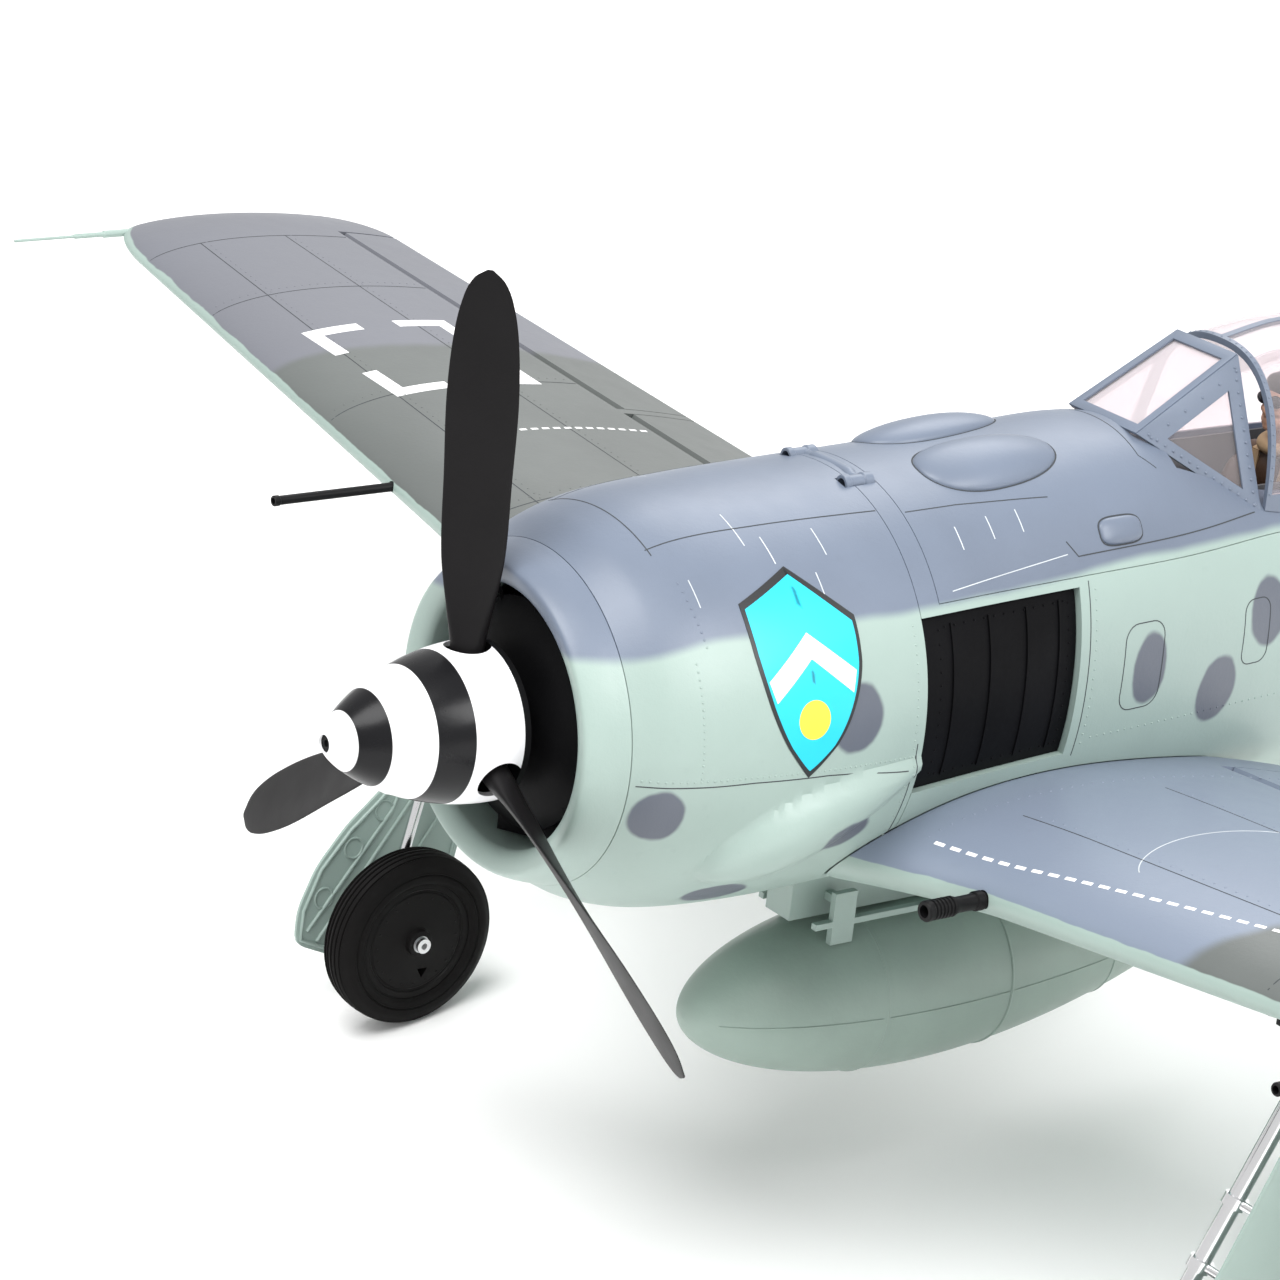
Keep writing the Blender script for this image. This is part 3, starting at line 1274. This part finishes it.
# ---------------------------------------------------------------- guns and probe
for s, word in ((1, "port"), (-1, "starboard")):
    x, z = 142 * s, -58
    prof = [(2.9, 224), (4.3, 224), (4.8, 224.8), (4.8, 227), (4.1, 227.6)]
    for k in range(6):
        y = 228.2 + k * 2.0
        prof += [(4.1, y), (4.7, y + 0.3), (4.7, y + 1.1), (4.1, y + 1.4)]
    prof += [(4.1, 241), (3.7, 242), (3.7, 252), (4.5, 252.6), (4.5, 256), (3.8, 256.8), (3.8, 273),
             (0, 273), (0, 243), (2.9, 243)]
    piece(f"inner_cannon_{word}", *lathe(prof, 48, (x, 0, z)), M_BLACK, "airframe", ["wing_cannons"], 30)
    x, z = 375 * s, -35.8
    prof = [(1.8, 208), (2.6, 208), (2.9, 208.5), (2.9, 211), (2.5, 211.4), (2.5, 284), (3.4, 286),
            (3.4, 291), (2.9, 292), (2.9, 308), (0, 308), (0, 227), (1.8, 227)]
    piece(f"outer_cannon_{word}", *lathe(prof, 40, (x, 0, z)), M_BLACK, "airframe", ["wing_cannons"], 30)
    prof = [(2.7, 251), (3.9, 251), (4.2, 251.3), (4.2, 254), (3.6, 254.6), (3.6, 262), (4.2, 262.6),
            (4.2, 267), (0, 267), (0, 263), (2.7, 263)]
    piece(f"cowl_gun_{word}", *lathe(prof, 40, (20.4 * s, 0, 96)), M_SLATE, "airframe", ["cowl_guns"], 30)
bridge = [[(x, 262 + 3.2 * math.cos(a) - abs(x) * 0.03,
            96.4 + (1.2 if abs(x) < 14 else 0) + 2.6 * math.sin(a)) for a in span(0, 2 * PI, 16)[:-1]]
            for x in span(-20, 20, 16)]
piece("gun_bridge", *loft(bridge), M_SLATE, "airframe", (), 40)
probe = [(0, 254), (0.9, 254), (0.9, 292), (1.5, 294), (1.5, 312), (2.2, 313), (2.2, 331), (0, 331)]
piece("pitot_probe", *lathe(probe, 24, (-742, 0, -0.4)), M_MINT, "airframe", ["pitot_tube"], 30)

# ---------------------------------------------------------------- wheels and legs


def both_faces(half, middle=()):
    """Closed profile of a wheel: one face's (radius, distance) points, the tread and the other face."""
    return [(r, -t) for r, t in half] + list(middle) + half[::-1]


TYRE_WALL = [
    (32.05, 9.2), (33.5, 10.5), (35, 10.9), (36.8, 10.6), (37.2, 10.1), (37.8, 10.1), (38.2, 10.7),
    (41, 10.6),
    (43, 9.7), (44.6, 8.4),
]
HUB_FACE = [
    (2.06, 13), (6.2, 13), (7, 12.6), (7.4, 9.4), (9, 9.0), (26.6, 8.6), (27.2, 8.0), (28.2, 8.0),
    (28.8, 8.8),
    (31.4, 9.0), (32, 8.8),
]
TAIL_WALL = [
    (1.56, 5), (6, 5), (7, 4.2), (13, 4.2), (14.5, 5), (15.5, 5.4), (18, 6.5), (20.4, 6.1), (22.5, 4.6),
    (23.4, 2.6),
]

for s, word in ((1, "left"), (-1, "right")):
    cx, cy, cz = WHEEL.x * s, WHEEL.y, WHEEL.z
    tread = []
    for t in (-6.4, -3.2, 0, 3.2, 6.4):
        r = 46.95 - 0.018 * t * t
        tread += [(r, t - 1.15), (r - 0.2, t - 0.75), (r - 1.0, t - 0.5)]
        tread += [(r - 1.0, t + 0.5), (r - 0.2, t + 0.75), (r, t + 1.15)]
    prof = both_faces(TYRE_WALL, tread)
    piece(f"tyre_tread_{word}", *lathe(prof, 128, (cx, cy, cz), "x"), M_TYRE, f"wheel_{word}",
          [f"tyre_{word}"], 32)
    inboard = -s
    hub = temp(*lathe(both_faces(HUB_FACE), 96, (cx, cy, cz), "x"))
    tri = [(math.cos(a) * 3.6, math.sin(a) * 3.6) for a in (0.5, 0.5 + 2.1, 0.5 + 4.2)]
    cut = temp([(cx + e, cy + 5 + p, cz - 18 + q) for e in (-20, 20) for p, q in tri],
               [(0, 1, 2), (3, 4, 5), (0, 1, 4, 3), (1, 2, 5, 4), (2, 0, 3, 5)])
    combine(hub, [cut])
    finished(hub, f"hub_disc_{word}", M_HUB, f"wheel_{word}", [f"wheel_hub_{word}"], 30)
    dots = [((cx + e * 8.65, cy + y, cz + z), (e, 0, 0)) for e in (1, -1) for y, z in circle(24.2, 20)]
    rivets(f"hub_rivets_{word}", dots, f"wheel_{word}", M_HUB, 0.55, 0.35)
    m = Matrix.Translation((cx + inboard * 13.2, cy, cz)) @ Matrix.Rotation(inboard * PI / 2, 4, "Y")
    washer = moved(prism(circle(4.6, 32), 0.5), Matrix.Translation((-inboard * 0.5, 0, 0)) @ m)
    parts = [moved(prism(circle(3.6, 6), 2.6), m), washer, moved(prism(circle(1.8, 24), 2.8), m)]
    piece(f"axle_nut_{word}", *joined(parts), M_STEEL, f"piston_{word}", (), 30)

# leg doors with raised ribs and rings
DOOR = [
    (-4, 26), (20, 26), (32, 60), (40, 110), (45, 150), (48, 190), (40, 222), (20, 231), (-14, 232),
    (-39, 230),
    (-43.5, 212), (-40, 188), (-29, 163), (-17, 145), (-4, 124),
]


def door_matrix():
    far = PIVOT + Vector((10, 0, 0)) + LEG * Vector((DOWN.x + 0.03, DOWN.y, DOWN.z))
    start = PIVOT + Vector((10, 0, 0))
    down = (far - start).normalized()
    side = down.cross(Vector((1, 0, 0))).normalized()
    out = side.cross(down)
    m = Matrix((-side, down, out)).transposed().to_4x4()
    return Matrix.Translation(start) @ m


def rounded_outline(points, r=7, n=5):
    out = []
    for i, p in enumerate(points):
        a, b, c = Vector(points[i - 1]), Vector(p), Vector(points[(i + 1) % len(points)])
        p0 = b + (a - b).normalized() * min(r, (a - b).length / 2.2)
        p1 = b + (c - b).normalized() * min(r, (c - b).length / 2.2)
        for k in range(n + 1):
            t = k / n
            out.append(tuple(p0 * (1 - t) ** 2 + b * 2 * t * (1 - t) + p1 * t * t))
    return out


m = door_matrix()
door = temp(*moved(prism(rounded_outline(DOOR), 1.8), m))
flipped = mirrored(door)
finished(door, "leg_door_left", M_MINT, "gear_left", ["gear_door_left"], 30, 0.3)
finished(flipped, "leg_door_right", M_MINT, "gear_right", ["gear_door_right"], 30, 0.3)
relief = []
for path in ([(-1, 30), (-1, 124), (-14, 147), (-26, 165), (-37, 189), (-40, 212), (-36.5, 227), (-14, 229),
              (20, 228)],
             [(17, 30), (29, 61), (37, 111), (42, 150), (45, 190), (37.5, 220), (20, 228)],
             [(-34, 222), (-4, 150), (8, 34)], [(-26, 226), (12, 128), (16, 60)],
             [(0, 226), (30, 140), (24, 74)]):
    relief.append(moved(tube([(x, y, -0.1) for x, y in path], 1.1, 10), m))
for x, y in ((-9, 151), (-21, 174), (-30, 203), (28, 176), (26, 206), (24, 100)):
    relief.append(moved(tube([(x + 5.5 * math.cos(a), y + 5.5 * math.sin(a), -0.1)
                              for a in span(0, 2 * PI, 28)], 0.7, 8), m))
ob = temp(*joined(relief))
flipped = mirrored(ob)
finished(ob, "leg_door_relief_left", M_MINT, "gear_left", (), 60)
finished(flipped, "leg_door_relief_right", M_MINT, "gear_right", (), 60)

tail_c = Vector((0, 1176, WHEEL.z + 937 * math.tan(PARKED) - 23 / COS))
prof = both_faces(TAIL_WALL, [(23.9, -1.2), (23.2, -0.8), (23.2, 0.8), (23.9, 1.2)])
piece("tail_tyre", *lathe(prof, 96, tuple(tail_c), "x"), M_TYRE, "tail_wheel", ["tail_wheel"], 32)

# ---------------------------------------------------------------- drop tank
def tank_r(u):
    return 43 * math.sin(PI * max(u, 0) ** 0.72) ** 0.72 if 0 < u < 1 else 0


prof = [(0, 0)]
for u in [(i / 110) ** 1.3 for i in range(1, 110)]:
    r = tank_r(u)
    for c in (0.27, 0.50, 0.73):
        d = abs(u - c) * 336
        if d < 1.8:
            r += 0.7 * (1 - (d / 1.8) ** 2)
    prof.append((r, 336 * u))
prof.append((0, 336))
piece("tank_shell", *lathe(prof, 128, (0, 212, -168)), M_TANK, "airframe", ["drop_tank"], 50)
beads = []
for u in (0.27, 0.50, 0.73):
    r = tank_r(u) + 0.1
    beads.append(tube([(r * math.cos(a), 212 + 336 * u, -168 + r * math.sin(a))
                       for a in span(0, 2 * PI, 96)], 0.7, 8))
for sgn in (1, -1):
    beads.append(tube([(sgn * tank_r(u), 212 + 336 * u, -168) for u in span(0.03, 0.97, 60)], 0.45, 8))
piece("tank_beads", *joined(beads), M_TANK, "airframe", (), 60)
cap = [(0, -124.0), (6.5, -124.0), (6.5, -126.5), (7.6, -127), (7.6, -131), (0, -131)]
piece("tank_filler", *lathe(cap, 40, (0, 330, 0), "z"), M_TANK, "airframe", (), 30)

# ---------------------------------------------------------------- windscreen and canopy
F, T, R = Vector((23.8, 424.5, 103.5)), Vector((21, 486, 136)), Vector((47.5, 490, 66))


def strip(a, b, out, width, thick=1.3):
    """Flat strap between two points, its face towards out."""
    a, b, out = Vector(a), Vector(b), Vector(out)
    along = (b - a).normalized()
    out = (out - along * out.dot(along)).normalized()
    side = along.cross(out) * width / 2
    pts = [p + s2 * side + k * out * thick / 2 for p in (a, b) for s2,
           k in ((1, 1), (-1, 1), (-1, -1), (1, -1))]
    f = [(0, 1, 2, 3), (4, 7, 6, 5)] + [(k, (k + 1) % 4, 4 + (k + 1) % 4, 4 + k) for k in range(4)]
    return pts, f


def sheet(corners, borders, normal, thick=1.4):
    """Flat plate with a window. borders[i] is the plate's width along the edge after corner i."""
    c = [Vector(p) for p in corners]
    k = len(c)
    centre = sum(c, Vector()) / k
    lines = []
    for i in range(k):
        along = (c[(i + 1) % k] - c[i]).normalized()
        side = normal.cross(along)
        side = side if side.dot(centre - c[i]) > 0 else -side
        lines.append((c[i] + side * borders[i], along, side))
    inner = []
    for i in range(k):
        p, along = lines[i - 1][:2]
        q, face_side = lines[i][0], lines[i][2]
        inner.append(p + along * ((q - p).dot(face_side) / along.dot(face_side)))
    verts = [p + normal * h for h in (thick / 2, -thick / 2) for ring in (c, inner) for p in ring]
    faces = []
    for i in range(k):
        j = (i + 1) % k
        faces += [(i, j, k + j, k + i), (2 * k + j, 2 * k + i, 3 * k + i, 3 * k + j),
                  (j, i, 2 * k + i, 2 * k + j), (k + i, k + j, 3 * k + j, 3 * k + i)]
    return verts, faces


def flip(v):
    return Vector((-v.x, v.y, v.z))


face = (T - F).cross(flip(F) - F).normalized()
face = face if face.y < 0 else -face
side_n = (T - F).cross(R - F).normalized()
side_n = side_n if side_n.x > 0 else -side_n
R = R + Vector((0.4, 1.5, -3.5))
frame_parts, dots = [sheet((F, T, flip(T), flip(F)), (4.2, 6.5, 4.2, 5.5), face)], []
for s in (1, -1):
    f = (lambda v: v) if s > 0 else flip
    frame_parts.append(sheet([f(p) for p in (F, T, R)], (11.5, 8.5, 6.5), f(side_n)))
    for a, b, inset, steps in ((F, T, 6, 5), (T, R, 3.2, 11), (R, F, 3.0, 13)):
        inward = ((F + T + R) / 3 - (a + b) / 2).normalized() * inset
        dots += [(f(a + (b - a) * t + inward + side_n * 0.7), f(side_n)) for t in span(0.08, 0.92, steps)]
piece("windscreen_plates", *joined(frame_parts), M_SLATE, "hatch_unit", ["windscreen_frame"], 25, 0.2)
rivets("windscreen_rivets", dots, "hatch_unit", M_SLATE, 0.9, 0.5)


def pane(corners, t=1.0):
    c = [Vector(p) for p in corners]
    n = (c[1] - c[0]).cross(c[2] - c[0]).normalized() * t
    k = len(c)
    return [tuple(p) for p in c] + [tuple(p + n) for p in c], \
        prism_faces(k)


back_off = face * -0.5
glass = [pane([F + back_off + Vector((-1, 0, 0)), flip(F) + back_off + Vector((1, 0, 0)),
               flip(T) + back_off, T + back_off])]
for s in (1, -1):
    f = (lambda v: v) if s > 0 else flip
    off = side_n * -0.5
    c = (F + T + R) / 3
    glass.append(pane([f(p + (c - p).normalized() * 2 + off) for p in (F, T, R)]))
piece("windscreen_panes", *joined(glass), M_CLEAR, "hatch_unit", ["windscreen_glass"], 30)


def canopy_ring(y, inset, n=72):
    w = smooth(CANOPY, y, 1) - inset
    s = smooth(CANOPY, y, 2)
    h = smooth(CANOPY, y, 3) - s - inset
    p = 2 / 2.5
    ring = [(-w, y, s - 3)]
    for k in range(n + 1):
        a = PI - PI * k / n
        ring.append((w * spow(math.cos(a), p), y, s + h * spow(max(math.sin(a), 0), p)))
    return ring + [(w, y, s - 3)]


def canopy_solid(inset, lo, hi, steps=70):
    return temp(*loft([canopy_ring(y, inset) for y in span(lo, hi, steps)]))


def windows(gap):
    """The port and starboard openings of the canopy's frame."""
    return both(lambda: temp(*block((2.0 + gap, 496.5 + gap, 73 + gap), (62, 640 - gap, 153))))


def lowered(ob, dz):
    ob.data.transform(Matrix.Translation((0, 0, dz)))
    return ob


shell = canopy_solid(0, 493.5, 735)
combine(shell,
        [lowered(canopy_solid(2.2, 490, 738), -1), body_solid(480, 760, -0.4, 40, 160, False)] + windows(0))
finished(shell, "canopy_rails", M_SLATE, "canopy", ["canopy_frame"], 34)
shell = canopy_solid(0.4, 493.5, 735)
combine(shell, [lowered(canopy_solid(1.6, 490, 738), -0.6)])
port_window, starboard_window = windows(0.1)
combine(shell, [combine(port_window, [starboard_window], "UNION")], "INTERSECT")
finished(shell, "canopy_panes", M_CLEAR, "canopy", ["canopy_glass"], 34)


def canopy_point(y, a):
    sill = smooth(CANOPY, y, 2)
    return Vector((smooth(CANOPY, y, 1) * spow(math.cos(a), 0.8), y,
                   sill + (smooth(CANOPY, y, 3) - sill) * spow(math.sin(a), 0.8)))


def on_canopy(y, a):
    """Point on the canopy at an angle round it, and the outward direction."""
    along = canopy_point(y + 0.5, a) - canopy_point(y - 0.5, a)
    n = along.cross(canopy_point(y, a + 0.01) - canopy_point(y, a - 0.01)).normalized()
    p = canopy_point(y, a)
    return p, (n if n.dot(p - Vector((0, y, smooth(CANOPY, y, 2)))) > 0 else -n)


dots = [on_canopy(495.0, a) for a in span(0.06, PI - 0.06, 40)]
for s in (0, 1):
    dots += [on_canopy(y, (0.03 if s else PI - 0.03)) for y in span(506, 636, 30)]
dots += [on_canopy(y, a) for y in (646, 660) for a in span(0.15, PI - 0.15, 22)]
rivets("canopy_rivets", dots, "canopy", M_SLATE, 0.7, 0.35)

# ---------------------------------------------------------------- cockpit fittings
dials = []
DIALS = ((18, 68, 4.2), (7, 70, 4.6), (14, 57, 3.6), (20, 47, 3), (8, 46, 3))
for x, z, r in [(s * x, z, r) for s in (1, -1) for x, z, r in DIALS] + [(0, 57, 4.0)]:
    dials.append(lathe([(r * 0.8, 465), (r, 465), (r, 466.2), (r * 0.8, 466.6), (r * 0.78, 465.6)], 28,
                       (x, 0, z)))
piece("instrument_rims", *joined(dials), M_STEEL, "hatch_unit", (), 30)
sight = [block((-6, 452, 86), (6, 464, 96)), block((-1.6, 455, 80), (1.6, 461, 87))]
piece("gunsight_body", *joined(sight), M_BLACK, "hatch_unit", (), 30, 0.5)
piece("gunsight_glass", *pane([(-5, 455, 97), (5, 455, 97), (5, 463, 110), (-5, 463, 110)], 0.8), M_CLEAR,
      "hatch_unit")
rest = [block((-9, 566, 84), (9, 571, 104)), block((-4, 567, 76), (4, 570, 86))]
piece("headrest", *joined(rest), M_LEATHER, "hatch_unit", (), 30, 1.2)
coaming = [[(x, y, 82 + 6 * math.sqrt(max(0, 1 - (x / 31) ** 2))) for x in span(-30, 30, 20)]
           + [(x, y, 80) for x in span(30, -30, 20)] for y in (442, 448, 458, 466)]
piece("coaming", *loft(coaming), M_PIT, "hatch_unit", (), 40)


def blob(parts, name, mat, voxel=1.0, soften=3):
    """Joins ellipsoids into one smooth body. parts holds (centre, radii)."""
    bm = bmesh.new()
    for c, r in parts:
        bmesh.ops.create_uvsphere(bm, u_segments=32, v_segments=20, radius=1,
                                  matrix=Matrix.Translation(c) @ Matrix.Diagonal((*r, 1)))
    me = bpy.data.meshes.new("scratch")
    bm.to_mesh(me)
    bm.free()
    ob = bpy.data.objects.new("scratch", me)
    bpy.context.collection.objects.link(ob)
    mod = ob.modifiers.new("join", "REMESH")
    mod.mode = "VOXEL"
    mod.voxel_size = voxel
    mod = ob.modifiers.new("soft", "SMOOTH")
    mod.factor = 0.5
    mod.iterations = soften
    graph = bpy.context.evaluated_depsgraph_get()
    new = bpy.data.meshes.new_from_object(ob.evaluated_get(graph))
    ob.modifiers.clear()
    ob.data = new
    return finished(ob, name, mat, "hatch_unit", ["pilot"], 80)




def paired(*balls):
    """Ellipsoids as (centre, radii), each with its mirror image."""
    return [((s * c[0], c[1], c[2]), r) for c, r in balls for s in (1, -1)]


# centre of the head
HY, HZ = 545, 101
jacket = [((0, 553, 40), (20, 13, 24)), ((0, 551, 62), (22, 12, 15))]
jacket += paired(((19, 550, 66), (8, 8.5, 9)), ((23, 543, 50), (6.5, 9, 17)), ((19, 528, 37), (6, 14, 6)),
                 ((10, 530, 24), (8, 26, 8)))
blob(jacket, "figure_jacket", M_LEATHER, 1.2, 5)
skin = [((0, 549, 82), (6.4, 6.8, 9)), ((0, HY + 1, HZ - 1), (9.6, 11.5, 13.5)),
        ((0, HY - 5, HZ - 8.5), (6.6, 7, 6.0)), ((0, HY - 11.6, HZ - 3.4), (1.9, 2.6, 3.4)),
        ((0, HY - 10.2, HZ - 8.2), (3.0, 1.8, 0.9)), ((0, HY - 9.0, HZ - 12.0), (3.0, 2.6, 2.2))]
blob(skin + paired(((4.2, HY - 8.2, HZ - 4), (2.6, 2.4, 2.4))), "figure_face", M_SKIN, 0.6, 3)
helmet = [((0, HY + 3.2, HZ + 2.6), (11.2, 12.2, 14.2))]
helmet += paired(((9.6, HY + 2.5, HZ - 3), (2.8, 5.2, 6.4))) + [((0, HY - 3.0, HZ + 9.0), (9.4, 7.2, 5.6))]
blob(helmet, "figure_helmet", M_HELMET, 0.7, 3)
lenses = paired(((4.4, HY - 10.6, HZ + 1.6), (4.1, 2.2, 3.2))) + [((0, HY - 10.6, HZ + 1.6), (2.2, 1.4, 1.2))]
blob(lenses, "figure_goggles", M_LENS, 0.45, 2)
band = [(11.4 * math.sin(a), HY + 2.6 - 13.0 * math.cos(a), HZ + 1.8 + 0.9 * math.cos(a))
        for a in span(0.5, 2 * PI - 0.5, 40)]
piece("goggle_band", *tube(band, 0.9, 8), M_BLACK, "hatch_unit", (), 60)
straps = []
for s in (1, -1):
    straps.append(strip((s * 9, 538.4, 46), (s * 11, 541.6, 73), (0, -1, 0.2), 5.2, 1.2))
    straps.append(strip((s * 11, 541.6, 73), (s * 10, 556, 79), (0, -0.2, 1), 5.2, 1.2))
straps.append(strip((-12, 538.6, 44), (12, 538.6, 44), (0, -1, 0), 5.5, 1.3))
piece("harness", *joined(straps), M_STRAP, "hatch_unit", (), 30)
collar = [(10.5 * math.cos(a), 549 + 9.5 * math.sin(a), 79 + 1.6 * math.sin(a)) for a in span(0, 2 * PI, 36)]
piece("fur_collar", *tube(collar, 3.4, 12), M_STRAP, "hatch_unit", (), 60)

# what the booleans left over
for ob in [o for o in bpy.data.objects if o.name.startswith("scratch")]:
    drop(ob)

# ---------------------------------------------------------------- carried-over design parts
FINISH = {
    "firewall": M_PLY, "motor_stator": M_ENGINE, "motor_rotor": M_STEEL, "spinner_backplate": M_BLACK,
    "propeller_hub": M_STEEL, "cooling_fan": M_ENGINE, "dummy_engine": M_ENGINE, "wing_spar": M_BLACK,
    "servos": M_BLACK, "retract_units": M_BLACK, "gear_leg_left": M_CHROME, "gear_leg_right": M_CHROME,
    "gear_piston_left": M_CHROME, "gear_piston_right": M_CHROME, "tail_strut": M_STEEL,
    "tank_rack": M_MINT, "battery": M_WRAP, "electronics": M_BLACK, "cockpit_tub": M_PIT,
}
for kind in ("aileron", "flap"):
    for side in ("left", "right"):
        FINISH[f"{kind}_arm_{side}"] = M_BLACK
        FINISH[f"{kind}_rod_{side}"] = M_STEEL
for node, mat in FINISH.items():
    me = frame["nodes"][node].data
    me.materials.clear()
    me.materials.append(mat)

SLOTS = {
    "paint_body": "painted_slate", "paint_slate": "painted_slate", "paint_mint": "painted_mint",
    "tank_paint": "painted_mint",
    "paint_fin": "painted_mint", "paint_wing": "wing_paint", "paint_tail": "wing_paint",
    "blade_black": "blade_black",
    "spinner_paint": "spinner_white", "tyre_rubber": "tyre_rubber", "hub_plastic": "hub_black",
    "clear_pane": "clear_pane",
    "satin_black": "black_plastic", "soot_black": "black_plastic", "engine_black": "engine_grey",
    "machined_alloy": "metal",
    "brown_leather": "figure", "figure_skin": "figure", "helmet_black": "figure",
    "cockpit_grey": "cockpit_dark",
}
for ob in list(bpy.data.objects):
    if ob.type == "MESH" and ob.name not in frame["nodes"] and ob.data.materials and ob.data.materials[0]:
        word = SLOTS.get(ob.data.materials[0].name)

# ---------------------------------------------------------------- floor, light and camera
floor_mat, s = material("floor")
wire(tint(noise(0.6, 2), (0.95, 0.945, 0.94), (0.97, 0.965, 0.96)), s.inputs["Base Color"])
wire(noise(3, 2) * 0.1 + 0.6, s.inputs["Roughness"])
bpy.ops.mesh.primitive_plane_add(size=40, location=(0, 0, -0.0005))
floor = bpy.context.object
floor.name = "floor"
floor.data.materials.append(floor_mat)

world = bpy.data.worlds.new("studio")
bpy.context.scene.world = world
world.use_nodes = True
world.node_tree.nodes["Background"].inputs["Color"].default_value = (1, 1, 1, 1)
world.node_tree.nodes["Background"].inputs["Strength"].default_value = 0.82


def lamp(name, at, to, size, power):
    data = bpy.data.lights.new(name, "AREA")
    data.shape = "RECTANGLE"
    data.size, data.size_y = size
    data.energy = power
    ob = bpy.data.objects.new(name, data)
    ob.location = at
    ob.rotation_euler = (Vector(to) - Vector(at)).to_track_quat("-Z", "Y").to_euler()
    bpy.context.collection.objects.link(ob)


lamp("key", (0.5, -1.5, 3.6), (0, 0, 0.25), (2.4, 2.0), 130)
lamp("fill", (3.2, 0.9, 2.6), (0.35, 0.1, 0.25), (2.0, 2.0), 120)
lamp("back", (-1.8, 2.6, 2.8), (0, 0, 0.3), (2.4, 1.6), 55)

data = bpy.data.cameras.new("camera")
camera = bpy.data.objects.new("camera", data)
bpy.context.collection.objects.link(camera)
bpy.context.scene.camera = camera
data.sensor_width = 36
data.lens = 123.74
data.shift_x, data.shift_y = -0.0235, 0.0390
data.clip_end = 100
turn, lift, roll = (math.radians(v) for v in (51.4, 20.3, 6.4))
back = Vector((math.sin(turn) * math.cos(lift), -math.cos(turn) * math.cos(lift), math.sin(lift)))
right = Vector((0, 0, 1)).cross(back).normalized()
up = back.cross(right)
right, up = right * math.cos(roll) + up * math.sin(roll), up * math.cos(roll) - right * math.sin(roll)
axes = Matrix((row_dir(right), row_dir(up), row_dir(back))).transposed().to_4x4()
camera.matrix_world = Matrix.Translation(Vector(row((1445.5, -970.6, 683.5)))) @ axes

view = bpy.context.scene.view_settings
view.view_transform = "Standard"
view.exposure = 0.0

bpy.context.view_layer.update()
import json
